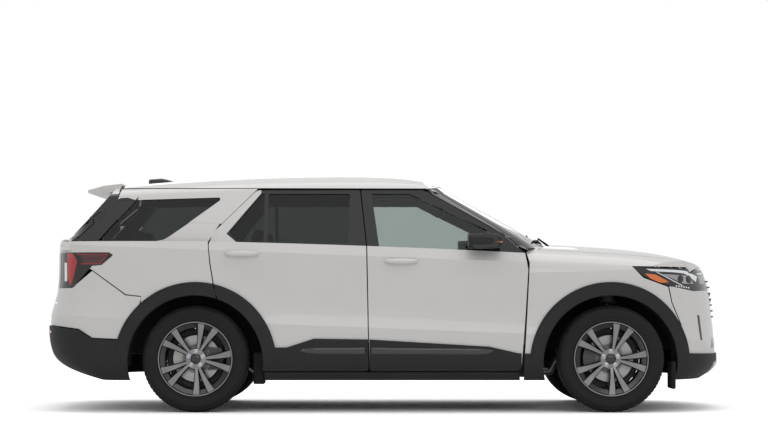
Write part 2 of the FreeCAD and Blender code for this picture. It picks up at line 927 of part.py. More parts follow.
def front_wing():
    shape = layer(nose_body, 0.0, wing_thickness, side_prism(wing_outline, 0.0, 300.0))
    shape = shape.cut(bonnet_region(shut_gap)).cut(front_arch_paint).cut(front_low_cut)
    return shape.cut(side_prism(lamp_outline, -seat_gap)).cut(scuttle_room)


def headlamp():
    region = side_prism(lamp_outline, 0.0, lamp_inner_y)
    return layer(nose_body, 1.0, 90.0, region).cut(bonnet_region(shut_gap))


bumper_outline = [
    (2100.0, 800.0),
    (2170.0, 640.0),
    (2200.0, 427.0 + seat_gap),
    (3000.0, 400.0 + seat_gap),
    (3000.0, 1042.0),
    (2290.0, 1042.0),
    (2290.0, 900.0),
    (2075.0, 916.0),
]
grille_half_width = 470.0
grille_low = 640.0
grille_high = 1000.0


def grille_region(gap):
    """The grille's opening in the nose, wider at the top."""
    half = grille_half_width - gap
    low = half * 0.82
    corners = [
        vec(2250.0, -low, grille_low + gap),
        vec(2250.0, low, grille_low + gap),
        vec(2250.0, half, grille_high - gap),
        vec(2250.0, -half, grille_high - gap),
    ]
    return Part.Face(Part.makePolygon(corners + corners[:1])).extrude(vec(500.0, 0, 0))


def front_bumper():
    region = side_prism(bumper_outline, 0.0)
    region = region.fuse(mirrored(region))
    shape = layer(nose_body, 0.0, bumper_thickness, region)
    shape = shape.cut(grille_region(0.0)).cut(front_arch_paint)
    lamp = side_prism(lamp_outline, -seat_gap, lamp_inner_y - seat_gap)
    beam = skin(nose_body, bumper_thickness / 2).common(
        block(2250.0, 2330.0, -700.0, 700.0, 470.0, 600.0)
    )
    return shape.cut(lamp).cut(mirrored(lamp)).cut(bonnet_region(shut_gap)).fuse(beam)


def grille():
    """A frame and its bars, with a dark plate behind them."""
    frame = layer(nose_body, 6.0, 40.0, grille_region(seat_gap)).cut(grille_region(30.0))
    pieces = [frame, layer(nose_body, 34.0, 44.0, grille_region(6.0))]
    count = 6
    for k in range(count):
        z = grille_low + (grille_high - grille_low) * (k + 0.7) / (count + 0.4)
        pieces.append(
            layer(nose_body, 10.0, 38.0, grille_region(10.0)).common(
                block(2200.0, 2700.0, -600.0, 600.0, z - 9.0, z + 9.0)
            )
        )
    return pieces[0].fuse(pieces[1:])


def dark_front():
    """Front arch trims, sill ends and the lower valance, standing out from the panels."""
    ring = cross_rod(front_axle_x, 600.0, half_width_room, arch_centre_z, arch_outer_radius)
    foot = side_prism([(1010.0, 100.0), (3000.0, 100.0), (3000.0, 400.0), (2200.0, 427.0), (1010.0, 427.0)])
    region = ring.fuse(foot).cut(front_arch)
    region = region.cut(block(2060.0, 3000.0, 0.0, 700.0, 428.0, 1200.0))
    outer = skin(hull, -trim_stand).common(region)
    outer = outer.cut(skin(hull, wing_thickness))
    outer = outer.cut(block(1000.0, 1260.0, 0.0, 880.0, 0.0, 1200.0))
    outer = outer.cut(block(-3000.0, 1010.0, 0.0, 1300.0, 0.0, 1200.0))
    return outer


def sill_trim():
    """The dark sill below the doors, with a flange that seats it on the side frame."""
    region = side_prism(
        [(995.0, 100.0), (-880.0, 100.0), (-880.0, 292.0), (975.0, 292.0)]
    )
    flange = layer(hull, 50.0, pillar_outer - seat_gap, region.common(
        block(-900.0, 1000.0, 0.0, 1300.0, 272.0, 292.0)))
    return layer(hull, 0.0, 60.0, region).fuse(flange).cut(rear_arch)


def dark_rear():
    """Rear arch trims behind the doors, and the rear valance."""
    ring = cross_rod(rear_axle_x, 600.0, half_width_room, arch_centre_z, arch_outer_radius)
    low = side_prism(
        [(-3000.0, 100.0), (-3000.0, 640.0), (-2451.0, 625.0), (-2234.0, 600.0), (-2131.0, 535.0),
         (-1900.0, 523.0), (-1500.0, 523.0), (-1500.0, 100.0)]
    )
    region = ring.fuse(low).cut(rear_arch)
    region = region.cut(side_prism(rear_outline, -shut_gap))
    shape = skin(hull, -trim_stand).common(region).cut(skin(hull, wing_thickness))
    return shape.cut(block(-1370.0, 0.0, 0.0, 1300.0, 0.0, 700.0))


quarter_outline = [
    (-2345.0 + 9.0, 1262.0 + 9.0),
    (-2215.0 + 9.0, 1381.0 + 6.0),
    (-1985.0 + 8.0, 1562.0 + 6.0),
    (-1956.0, 1640.0),
    (-944.0, 1640.0),
    (-1276.0, 1300.0, 60.0),
    (-1296.0, 1242.0),
    (-1282.0, 1089.0),
    (-1258.0, 944.0),
    (-1300.0, 500.0),
    (-1800.0, 500.0),
    (-1775.0, 846.0),
    (-1890.0, 859.0),
    (-2136.0, 1036.0),
    (-2400.0, 1170.0),
    (-2405.0, 1262.0),
]
tail_lamp_outline = [
    (-2600.0, 1163.0),
    (-2013.0, 1163.0, 6.0),
    (-1982.0, 1144.0, 6.0),
    (-2068.0, 1072.0),
    (-2136.0, 1066.0),
    (-2281.0, 909.0),
    (-2600.0, 900.0),
]
gate_half_width = 742.0
gate_low = 800.0


def gate_region(gap):
    """The space that the liftgate takes, grown by a gap."""
    low = block(
        -2700.0, -2180.0, -gate_half_width - gap, gate_half_width + gap, gate_low - gap, 1262.0
    )
    high = side_prism(
        [
            (-2700.0, 1255.0),
            (-2345.0 + gap, 1255.0),
            (-2215.0 + gap, 1381.0),
            (-1985.0 + gap, 1562.0),
            (-1956.0 + gap, 1683.0),
            (-1956.0 + gap, 1900.0),
            (-2700.0, 1900.0),
        ],
        0.0,
        -half_width_room,
    )
    return low.fuse(high)


def back_shell(outer, inner, region):
    """What lies between two depths of the cabin's sides and rear window together."""
    room = region.common(skin(cabin, outer)).common(skin(backlight, outer))
    side = room.cut(skin(cabin, inner))
    back = room.cut(skin(backlight, inner))
    return side.fuse(back)


def quarter():
    """A rear quarter panel, from the sill's end up to the roof, round its window."""
    region = side_prism(quarter_outline)
    low = layer(hull, 0.0, wing_thickness, region.common(
        block(-3000.0, 0.0, 0.0, 1300.0, 0.0, 1246.0)))
    high = back_shell(0.0, wing_thickness, region.common(
        block(-3000.0, 0.0, 0.0, 1300.0, 1180.0, 1900.0)))
    shape = low.fuse(high.cut(skin(hull, 0.0)))
    shape = shape.cut(side_prism(quarter_window)).cut(rear_arch_paint)
    shape = shape.cut(side_prism(tail_lamp_outline, -seat_gap)).cut(gate_region(shut_gap))
    pillar = side_prism(d_pillar_outline)
    return shape.cut(pillar)


d_pillar_outline = [
    (-1850.0, 1556.0),
    (-1966.0, 1556.0),
    (-2150.0, 1372.0),
    (-2270.0, 1254.0),
    (-2105.0, 1252.0),
]


gate_hinge_x = -1892.0
gate_hinge_z = 1630.0
gate_hinge_y = 400.0
gate_arm_drop = 85.0
gate_arm_reach = -105.0
gate_scoop_radius = 83.0
header_half = 470.0


def roof():
    """The roof panel, with a header behind that carries the liftgate's hinges."""
    region = side_prism(
        [(-1948.0, 1648.0), (-1948.0, 1900.0), (520.0, 1900.0), (520.0, 1560.0), (300.0, 1642.0),
         (0.0, 1642.0)], 0.0, -half_width_room)
    shell = layer(cabin, 0.0, roof_thickness, region)
    shell = shell.common(skin(screen, 0.0)).cut(windscreen_region(seat_gap))
    x, z = gate_hinge_x, gate_hinge_z
    front = x + 80.0
    header = layer(cabin, roof_thickness / 2, roof_thickness + 50.0,
                   block(x + 22.0, front, -header_half, header_half, z - 100.0, z + 100.0))
    forks = hinge_forks(x, z, gate_hinge_y, x - 14.0, x + 40.0, z - 16.0, z + 30.0)
    return shell.fuse([header] + [fork.common(skin(cabin, roof_thickness / 2)) for fork in forks])


screen_top_z = 1668.0
screen_half_top = 600.0
screen_half_low = 735.0


def windscreen_region(gap):
    """The space of the windscreen, seen from the front."""
    corners = [
        vec(0, -screen_half_low - gap, 1100.0),
        vec(0, screen_half_low + gap, 1100.0),
        vec(0, screen_half_top + gap, screen_top_z + gap),
        vec(0, -screen_half_top - gap, screen_top_z + gap),
    ]
    return Part.Face(Part.makePolygon(corners + corners[:1])).extrude(vec(2000.0, 0, 0))


def windscreen():
    shape = skin(screen, 2.0).cut(skin(screen, 9.0)).common(windscreen_region(0.0))
    return shape.common(skin(cabin, 8.0)).cut(skin(nose_body, 34.0)).common(
        block(0.0, 3000.0, -1000.0, 1000.0, 1150.0, 2000.0))


def rear_bumper():
    """The rear bumper's cover, with the beam behind it that the rear rails carry."""
    region = side_prism(
        [(-3000.0, 646.0), (-2451.0, 633.0), (-2234.0, 608.0), (-2131.0, 543.0), (-1870.0, 531.0),
         (-1775.0, 838.0), (-1894.0, 851.0), (-2136.0, 1028.0), (-2290.0, 905.0), (-3000.0, 892.0)],
        0.0, -half_width_room)
    region = region.fuse(mirrored(region))
    shape = layer(hull, 0.0, bumper_thickness, region)
    shape = shape.cut(rear_arch_paint).cut(gate_region(shut_gap))
    lamp = side_prism(tail_lamp_outline, -seat_gap)
    beam = skin(hull, bumper_thickness / 2).common(
        block(-half_length, rear_beam_x, -700.0, 700.0, 540.0, 720.0)
    )
    return shape.cut(lamp).cut(mirrored(lamp)).fuse(beam)


rear_beam_x = -2400.0


def tail_lamp():
    region = side_prism(tail_lamp_outline, 0.0, gate_half_width + shut_gap)
    return layer(hull, -2.0, 60.0, region)


def gate_lamp():
    region = side_prism(tail_lamp_outline, 0.0, 430.0, gate_half_width - 2.0)
    return layer(hull, -2.0, 30.0, region)


def gate_window(gap):
    corners = [
        vec(0, -690.0 - gap, 1270.0 - gap),
        vec(0, 690.0 + gap, 1270.0 - gap),
        vec(0, 590.0 + gap, 1585.0 + gap),
        vec(0, -590.0 - gap, 1585.0 + gap),
    ]
    return Part.Face(Part.makePolygon(corners + corners[:1])).extrude(vec(-3000.0, 0, 0))


def liftgate():
    """Lower gate panel, window surround and spoiler in one."""
    low = layer(hull, 0.0, gate_thickness, gate_region(0.0).common(
        block(-3000.0, -2000.0, -gate_half_width, gate_half_width, gate_low, 1262.0)))
    high = back_shell(0.0, 60.0, gate_region(0.0).common(
        block(-3000.0, -1900.0, -1300.0, 1300.0, 1240.0, 1900.0)))
    spoiler_face = profile(
        [(-1964.0, 1640.0), (-1964.0, 1684.0), (-2100.0, 1668.0), (-2221.0, 1634.0, 8.0),
         (-2215.0, 1612.0, 8.0), (-2080.0, 1612.0)])
    spoiler_face.translate(vec(0, -600.0, 0))
    spoiler = spoiler_face.extrude(vec(0, 1200.0, 0))
    shape = low.fuse(high).fuse(spoiler)
    shape = shape.cut(gate_window(0.0))
    x, z, y = gate_hinge_x, gate_hinge_z, gate_hinge_y
    shape = shape.cut(cross_rod(x, -half_width_room, half_width_room, z, gate_scoop_radius))
    arms, pins = goosenecks(x, z, y, gate_arm_drop, gate_arm_reach, 30.0)
    limit = skin(cabin, wing_thickness)
    shape = shape.fuse([arm.common(limit) for arm in arms] + pins)
    lamp = side_prism(tail_lamp_outline, -seat_gap, 430.0 - seat_gap)
    return shape.cut(lamp.common(skin(hull, -20.0)).cut(skin(hull, 30.0 + seat_gap))).cut(
        mirrored(lamp).cut(skin(hull, 30.0 + seat_gap)))


def gate_glass():
    pane = skin(backlight, 8.0).cut(skin(backlight, 13.0)).common(gate_window(-seat_gap))
    return pane.common(skin(cabin, 8.0))


wing = front_wing()
node("front_wings", both(wing))
node("bonnet", [bonnet()])
node("bumpers", [front_bumper(), rear_bumper()])
node("grille", [grille()])
node("headlamps", both(headlamp()))
quarter_panel = quarter()
node("rear_quarters", both(quarter_panel))
node("roof", [roof()])
pane = layer(cabin, glass_depth, glass_depth + glass_thickness, side_prism(quarter_window, seat_gap))
pillar_cover = back_shell(2.0, wing_thickness, side_prism(d_pillar_outline, 1.0)).cut(
    gate_region(shut_gap))
node("fixed_glass", [windscreen()] + both(pane) + both(pillar_cover))
node("tail_lamps", both(tail_lamp()))
node("gate_lamps", both(gate_lamp()))
node("liftgate", [liftgate()])
node("liftgate_glass", [gate_glass()])
front_trim = dark_front()
rear_trim = dark_rear()
node(
    "dark_trim",
    [front_trim.fuse(mirrored(front_trim)), rear_trim.fuse(mirrored(rear_trim)), cowl()]
    + both(sill_trim()),
)

# Wheels
wheel_z = tyre_radius
tyre_wall = 14.0
bead_radius = 262.0
flange_radius = 272.0
bead_half = 112.0
tread_half = 100.0
tread_edge_drop = 10.0
bulge_radius = 326.0
groove_depth = 8.0
groove_width = 11.0
groove_shares = [-0.56, -0.19, 0.19, 0.56]
barrel_half = 120.0
barrel_wall = 9.0
barrel_radius = 250.0
hub_radius = 82.0
hub_face = 78.0
hub_back = 40.0
spoke_face = 100.0
spoke_depth = 44.0
spoke_pairs = 5
spoke_spread = 13.0
spoke_first = 68.0
spoke_half_hub = 17.0
spoke_half_rim = 13.0
cap_radius = 36.0
disc_radius = 172.0
disc_half = 14.0
disc_offset = -18.0
spindle_radius = 26.0


def turned(points, y):
    """A ring turned about the wheel's axle from a section of (radius, offset along the axle)."""
    corners = [vec(0, offset, radius) for radius, offset in points]
    face = Part.Face(Part.makePolygon(corners + corners[:1]))
    ring = face.revolve(vec(0, 0, 0), Y_AXIS, 360.0)
    ring.translate(vec(0, y, 0))
    return ring


def tyre():
    """A hollow tyre with four grooves round its tread, at the origin."""
    outer = [
        vec(0, -bead_half, bead_radius),
        vec(0, -bead_half, flange_radius + 2.0),
        vec(0, -bead_half - 7.0, 286.0),
        vec(0, -tyre_width / 2, bulge_radius),
        vec(0, -tyre_width / 2 + 8.0, 360.0),
        vec(0, -tread_half, tyre_radius - tread_edge_drop),
    ]
    section = [(p.z, p.y) for p in outer]
    section.append((tyre_radius - 2.0, -tread_half * 0.75))
    for share in groove_shares:
        y = share * tread_half
        section.append((tyre_radius, y - groove_width / 2))
        section.append((tyre_radius - groove_depth, y - groove_width / 2 + 2.0))
        section.append((tyre_radius - groove_depth, y + groove_width / 2 - 2.0))
        section.append((tyre_radius, y + groove_width / 2))
    section.append((tyre_radius - 2.0, tread_half * 0.75))
    section += [(p.z, -p.y) for p in reversed(outer)]
    section += [
        (bead_radius, bead_half - tyre_wall),
        (bulge_radius, tyre_width / 2 - tyre_wall),
        (360.0, tyre_width / 2 - tyre_wall - 10.0),
        (tyre_radius - groove_depth - tyre_wall, tread_half - 14.0),
        (tyre_radius - groove_depth - tyre_wall, -tread_half + 14.0),
        (360.0, -tyre_width / 2 + tyre_wall + 10.0),
        (bulge_radius, -tyre_width / 2 + tyre_wall),
        (bead_radius, -bead_half + tyre_wall),
    ]
    return turned(section, 0.0)


def spoke(angle):
    """One leg of a split spoke, from the hub to the barrel, in the wheel's plane."""
    legs = []
    for side in (-1, 1):
        outer_turn = math.radians(angle + side * spoke_spread)
        inner_turn = math.radians(angle + side * spoke_spread * 0.75)
        foot_radius = hub_radius * 0.8
        tip_radius = barrel_radius - barrel_wall / 2

        def place(turn, radius, half, depth):
            across = vec(-math.sin(turn), 0, math.cos(turn))
            along = vec(math.cos(turn), 0, math.sin(turn))
            return along * radius + across * half + vec(0, depth, 0)

        rings = []
        for radius, turn, half, face in (
            (foot_radius, inner_turn, spoke_half_hub, hub_face),
            (tip_radius, outer_turn, spoke_half_rim, spoke_face),
        ):
            back = face - spoke_depth
            corners = [
                place(turn, radius, -half, back),
                place(turn, radius, half, back),
                place(turn, radius, half * 0.7, face),
                place(turn, radius, -half * 0.7, face),
            ]
            rings.append(Part.makePolygon(corners + corners[:1]))
        legs.append(Part.makeLoft(rings, True, True))
    return legs


def rim():
    """Barrel, hub, spokes, brake disc and cap, with its face towards +Y, at the origin."""
    barrel = turned(
        [
            (bead_radius - seat_gap, -barrel_half),
            (flange_radius, -barrel_half),
            (flange_radius, -barrel_half + 7.0),
            (bead_radius - seat_gap, -barrel_half + 7.0),
            (bead_radius - seat_gap, -80.0),
            (238.0, -60.0),
            (238.0, 60.0),
            (bead_radius - seat_gap, 80.0),
            (bead_radius - seat_gap, barrel_half - 7.0),
            (flange_radius, barrel_half - 7.0),
            (flange_radius, barrel_half),
            (bead_radius - seat_gap, barrel_half),
            (barrel_radius, barrel_half - 14.0),
            (barrel_radius, 86.0),
            (229.0, 66.0),
            (229.0, -64.0),
            (barrel_radius, -84.0),
            (barrel_radius, -barrel_half),
        ],
        0.0,
    )
    hub = turned(
        [
            (0.0, hub_back),
            (hub_radius, hub_back),
            (hub_radius, hub_face - 6.0),
            (hub_radius - 8.0, hub_face),
            (cap_radius, hub_face),
            (cap_radius - 4.0, hub_face - 5.0),
            (0.0, hub_face - 5.0),
        ],
        0.0,
    )
    bell = turned(
        [
            (spindle_radius + seat_gap, disc_offset - disc_half),
            (disc_radius, disc_offset - disc_half),
            (disc_radius, disc_offset + disc_half),
            (hub_radius - 4.0, disc_offset + disc_half),
            (hub_radius - 4.0, hub_back + 1.0),
            (spindle_radius + seat_gap, hub_back + 1.0),
        ],
        0.0,
    )
    shape = barrel.fuse([hub, bell])
    for k in range(spoke_pairs):
        for leg in spoke(spoke_first + k * 360.0 / spoke_pairs):
            shape = shape.fuse(leg)
    return shape


def set_wheel(shape, x, sign):
    """A wheel piece at its place, its face outwards."""
    piece = shape.copy()
    if sign < 0:
        piece = mirrored(piece)
    piece.translate(vec(x, sign * wheel_y, wheel_z))
    return piece


# Front suspension and steering
ball_y = 790.0
ball_z = 200.0
strut_top_y = 640.0
strut_top_z = 980.0
king_pin = (vec(0, strut_top_y - ball_y, strut_top_z - ball_z)).normalize()
pin_radius = 12.0
strut_radius = 17.0
spring_radius = 60.0


def king_rod(radius, start, stop):
    """A round bar along the steering axis on the left, between two distances from the lower ball."""
    foot = vec(front_axle_x, ball_y, ball_z) + king_pin * start
    return Part.makeCylinder(radius, stop - start, foot, king_pin)


def spindle(x):
    """The stub axle that a wheel turns on."""
    return cross_rod(x, wheel_y - 110.0, wheel_y + hub_back - 6.0, wheel_z, spindle_radius)


def caliper(x, side):
    """A brake caliper that straddles the disc."""
    outer = Part.makeCylinder(disc_radius + 26.0, 90.0, vec(x, wheel_y + disc_offset - 45.0, wheel_z), Y_AXIS)
    inner = Part.makeCylinder(disc_radius - 62.0, 90.0, vec(x, wheel_y + disc_offset - 45.0, wheel_z), Y_AXIS)
    room = Part.makeCylinder(
        disc_radius + 5.0, disc_half * 2 + 8.0, vec(x, wheel_y + disc_offset - disc_half - 4.0, wheel_z), Y_AXIS)
    region = block(x - 260.0 if side < 0 else x + 70.0, x - 70.0 if side < 0 else x + 260.0, 0, 1300, wheel_z - 80.0, wheel_z + 80.0)
    shape = outer.cut(inner).common(region).cut(room)
    arm = block(
        x - 130.0 if side < 0 else x + 30.0, x - 30.0 if side < 0 else x + 130.0,
        wheel_y - 96.0, wheel_y + disc_offset - disc_half - 5.0, wheel_z - 30.0, wheel_z + 30.0)
    return shape.fuse(arm.cut(room))


def knuckle():
    """Upright, stub axle, brake caliper and strut of the left front wheel."""
    x = front_axle_x
    pin = king_rod(pin_radius, -22.0, 60.0)
    upright = block(x - 32.0, x + 32.0, 742.0, 790.0, ball_z + 26.0, 470.0)
    tube = king_rod(strut_radius, 230.0, 560.0)
    perch = king_rod(spring_radius + 8.0, 612.0 - 10.0, 612.0)
    spring = king_rod(spring_radius, 612.0, 740.0).cut(king_rod(spring_radius - 14.0, 612.0, 740.0))
    top = king_rod(spring_radius, 740.0, 750.0)
    rod = king_rod(pin_radius, 500.0, 800.0)
    tube_top = king_rod(strut_radius, 500.0, 620.0)
    steering_arm = block(x - 150.0, x - 20.0, 745.0, 775.0, 300.0, 322.0)
    return pin.fuse([upright, tube, tube_top, perch, spring, top, rod, spindle(x), caliper(x, -1), steering_arm])


def front_suspension():
    """Subframe and lower arms, one solid a side of each."""
    x = front_axle_x
    frame = block(x - 240.0, x + 240.0, -420.0, 420.0, 236.0, 290.0).cut(
        block(x - 150.0, x + 150.0, -300.0, 300.0, 200.0, 300.0))
    shape = frame
    for sign in (-1, 1):
        arm = block(x - 34.0, x + 34.0, 360.0, 800.0, ball_z - 14.0, ball_z + 12.0)
        wide = plan_prism(
            [(x - 200.0, 330.0), (x + 200.0, 330.0), (x + 34.0, 560.0), (x - 34.0, 560.0)],
            ball_z - 14.0, ball_z + 12.0)
        foot = block(x - 200.0, x + 200.0, 330.0, 400.0, ball_z + 10.0, 240.0)
        eye = king_rod(30.0, -16.0, 16.0)
        side = arm.fuse([wide, foot, eye]).cut(king_rod(pin_radius + seat_gap, -80.0, 80.0))
        shape = shape.fuse(side if sign > 0 else mirrored(side))
    return shape


def rear_suspension():
    """Beam, arms, hub carriers, dampers and springs behind."""
    x = rear_axle_x
    beam = cross_rod(x + 40.0, -500.0, 500.0, 330.0, 38.0)
    case = Part.makeSphere(95.0, vec(x, 0, 360.0))
    shape = beam.fuse(case)
    for sign in (-1, 1):
        arm = plan_prism(
            [(x - 60.0, 450.0), (x + 340.0, 500.0), (x + 340.0, 570.0), (x - 60.0, 790.0)], 300.0, 340.0)
        shaft = cross_rod(x, 0.0, 770.0, wheel_z, 20.0)
        carrier = block(x - 45.0, x + 45.0, 742.0, 790.0, 290.0, 480.0)
        mount = block(x + 280.0, x + 340.0, 500.0, 560.0, 300.0, 500.0 - seat_gap)
        damper = Part.makeCylinder(24.0, 270.0 - seat_gap, vec(x - 40.0, 600.0, 330.0), Z_AXIS)
        coil = Part.makeCylinder(45.0, 165.0 - seat_gap, vec(x - 40.0, 515.0, 335.0), Z_AXIS)
        side = arm.fuse([shaft, carrier, mount, damper, coil, spindle(x), caliper(x, 1)])
        shape = shape.fuse(side if sign > 0 else mirrored(side))
    return shape


# Structure under the floor
floor_z = 330.0
floor_thickness = 40.0
rear_floor_z = 600.0


def underbody():
    """Floor, front rails, bulkhead, strut towers, wheelhouses and cross members in one piece."""
    inner = skin(hull, pillar_inner + seat_gap)
    low = inner.common(block(-960.0, 1150.0, -1000, 1000, floor_z, floor_z + floor_thickness))
    kick = inner.common(block(-1000.0, -960.0, -1000, 1000, floor_z, rear_floor_z + 40.0))
    high = inner.common(
        block(-2350.0, -960.0, -1000, 1000, rear_floor_z, rear_floor_z + floor_thickness))
    bulkhead = inner.common(block(1100.0, 1140.0, -1000, 1000, floor_z, bulkhead_top))
    shape = low.fuse([kick, high, bulkhead] + bonnet_brackets())
    for sign in (-1, 1):
        rail = block(1100.0, 2250.0 - seat_gap, 370.0, 450.0, 450.0, 560.0)
        apron = block(1120.0, 2200.0, 440.0, 480.0, 450.0, 900.0)
        tower = king_rod(105.0, 660.0, 800.0).cut(king_rod(spring_radius + 18.0, 600.0, 780.0))
        tower = tower.cut(king_rod(pin_radius + seat_gap, 700.0, 900.0))
        link = block(front_axle_x - 90.0, front_axle_x + 90.0, 440.0, 560.0, 850.0, 980.0).cut(
            king_rod(104.0, 600.0, 900.0))
        hanger = block(front_axle_x - 240.0, front_axle_x - 150.0, 380.0, 420.0, 290.0 + seat_gap, 460.0)
        hanger_front = block(front_axle_x + 150.0, front_axle_x + 240.0, 380.0, 420.0, 290.0 + seat_gap, 460.0)
        rear_rail = block(rear_beam_x + seat_gap, -960.0, 470.0, 560.0, 500.0, 605.0)
        engine_arm = block(1700.0, 1800.0, engine_half_width + seat_gap, 372.0, 480.0, 540.0)
        side = rail.fuse([apron, tower, link, hanger, hanger_front, rear_rail, engine_arm])
        shape = shape.fuse(side if sign > 0 else mirrored(side))
    house = cross_rod(rear_axle_x, 640.0, 1300.0, arch_centre_z, arch_inner_radius + 14.0)
    shape = shape.cut(house).cut(mirrored(house))
    front_house = cross_rod(front_axle_x, 500.0, 1300.0, arch_centre_z, arch_inner_radius + 14.0)
    bay = front_house.cut(block(0, 3000, 0, 500.0, 0, 2000))
    return shape.cut(bay).cut(mirrored(bay))


def arch_liner(x, inboard, cut_doors):
    """The dark inner skin of a wheelhouse."""
    outer = cross_rod(x, inboard, 1000.0, arch_centre_z, arch_inner_radius + 12.0)
    inner = cross_rod(x, inboard - 10.0, 1010.0, arch_centre_z, arch_inner_radius + 6.0)
    shape = outer.cut(inner).common(skin(hull, wing_thickness + 3.0))
    shape = shape.common(block(-3000.0, 3000.0, 0, 1300, 330.0, 1300.0))
    if cut_doors:
        region = side_prism(rear_outline, -shut_gap, pillar_clear_y)
        shape = shape.cut(region)
    else:
        shape = shape.cut(block(0, 1300.0, 870.0, 1300.0, 0, 1300)).cut(king_rod(90.0, 400.0, 900.0))
    return shape


pillar_clear_y = 855.0


engine_half_width = 250.0
engine_back_x = 1490.0


def engine():
    return block(engine_back_x, 2090.0, -engine_half_width, engine_half_width, 430.0, 980.0)


def exhaust():
    """A pipe from the engine back to a silencer, on hangers under the floor."""
    points = [
        vec(engine_back_x - seat_gap, 120, 480),
        vec(1400, 120, 480),
        vec(1280, 120, 262),
        vec(-1010, 120, 262),
        vec(-1230, 260, 450),
        vec(-1700, 260, 470),
    ]
    pieces = []
    for a, b in zip(points, points[1:]):
        pieces.append(Part.makeCylinder(28.0, (b - a).Length, a, b - a))
        pieces.append(Part.makeSphere(28.0, b))
    pieces.append(block(-2200.0, -1700.0, 180.0, 420.0, 400.0, 560.0))
    for x in (600.0, -600.0):
        pieces.append(Part.makeCylinder(8.0, floor_z - seat_gap - 262.0, vec(x, 120, 262), Z_AXIS))
    for x in (-1760.0, -2140.0):
        pieces.append(Part.makeCylinder(8.0, rear_floor_z - seat_gap - 500.0, vec(x, 300, 500), Z_AXIS))
    return pieces[0].fuse(pieces[1:])


# Inside
def seat(x, y, z, width, back_height, head):
    """A seat with its cushion's front at x, its back leaning rearwards."""
    cushion = profile([(x, z + 60.0, 20.0), (x - 40.0, z + 190.0, 50.0), (x - 500.0, z + 130.0), (x - 500.0, z, 20.0), (x - 60.0, z, 20.0)])
    cushion.translate(vec(0, y - width / 2, 0))
    back = profile([(x - 380.0, z + 150.0), (x - 530.0, z + back_height, 40.0), (x - 640.0, z + back_height, 40.0), (x - 540.0, z + 20.0, 20.0), (x - 430.0, z + 20.0)])
    back.translate(vec(0, y - width / 2, 0))
    pieces = [back.extrude(vec(0, width, 0))]
    if head:
        rest = profile([(x - 520.0, z + back_height - 5.0), (x - 540.0, z + back_height + 190.0, 30.0), (x - 640.0, z + back_height + 190.0, 30.0), (x - 650.0, z + back_height - 5.0)])
        rest.translate(vec(0, y - 130.0, 0))
        pieces.append(rest.extrude(vec(0, 260.0, 0)))
    return cushion.extrude(vec(0, width, 0)).fuse(pieces)


def front_seats():
    left = seat(420.0, 400.0, 560.0, 520.0, 640.0, True)
    left = left.fuse(block(-20.0, 360.0, 220.0, 580.0, floor_z + floor_thickness + 0.3, 562.0))
    return both(left)


def rear_seats():
    pieces = []
    for y in (-438.0, 0.0, 438.0):
        pieces.append(seat(-360.0, y, 560.0, 438.0, 600.0, True))
    bench = pieces[0].fuse(pieces[1:]).fuse(block(-800.0, -440.0, -600.0, 600.0, floor_z + floor_thickness + 0.3, 562.0))
    third = seat(-1290.0, 260.0, rear_floor_z + floor_thickness + 0.3, 470.0, 520.0, True)
    return [bench] + both(third)


def dashboard():
    face = profile([(1100.0 - seat_gap, 760.0), (1100.0 - seat_gap, 1020.0), (980.0, 1120.0, 60.0), (720.0, 1110.0, 60.0), (640.0, 1040.0, 40.0), (700.0, 800.0, 60.0), (820.0, 700.0), (960.0, 700.0)])
    face.translate(vec(0, -780.0, 0))
    shape = face.extrude(vec(0, 1560.0, 0)).common(skin(hull, pillar_inner + 4.0))
    shape = shape.common(skin(screen, 30.0))
    hinge_room = block(990.0, 1200.0, 640.0, 1000.0, 900.0, 1300.0)
    shape = shape.cut(hinge_room).cut(mirrored(hinge_room))
    console = profile([(860.0, 371.0), (860.0, 760.0), (760.0, 760.0, 60.0), (560.0, 680.0, 60.0), (40.0, 690.0, 30.0), (40.0, 371.0)])
    console.translate(vec(0, -110.0, 0))
    return shape.fuse(console.extrude(vec(0, 220.0, 0)))


column_slope = 25.0
steer_centre = (470.0, 400.0, 1010.0)


def column_rod(radius, start, stop):
    """A round bar along the steering column; distances run forward from the wheel's centre."""
    tilt = math.radians(column_slope)
    along = vec(math.cos(tilt), 0, -math.sin(tilt))
    return Part.makeCylinder(radius, stop - start, vec(*steer_centre) + along * start, along)


def steering_wheel():
    tilt = math.radians(column_slope)
    along = vec(math.cos(tilt), 0, -math.sin(tilt))
    ring = Part.makeTorus(176.0, 15.0, vec(*steer_centre), along)
    hub = column_rod(58.0, 0.0, 52.0)
    shaft = column_rod(14.0, 40.0, 150.0)
    pieces = [hub, shaft]
    for angle in (0.0, 180.0, 270.0):
        bar = Part.makeBox(170.0, 34.0, 16.0, vec(10.0, -17.0, 4.0))
        bar.rotate(vec(0, 0, 0), Z_AXIS, angle)
        pieces.append(bar)
    for bar in pieces[2:]:
        bar.rotate(vec(0, 0, 0), Z_AXIS, 90.0)
        bar.rotate(vec(0, 0, 0), Y_AXIS, 90.0 + column_slope)
        bar.translate(vec(*steer_centre))
    return ring.fuse(pieces)


def column():
    tube = column_rod(32.0, 70.0, 420.0).cut(column_rod(14.3, 60.0, 200.0))
    return tube


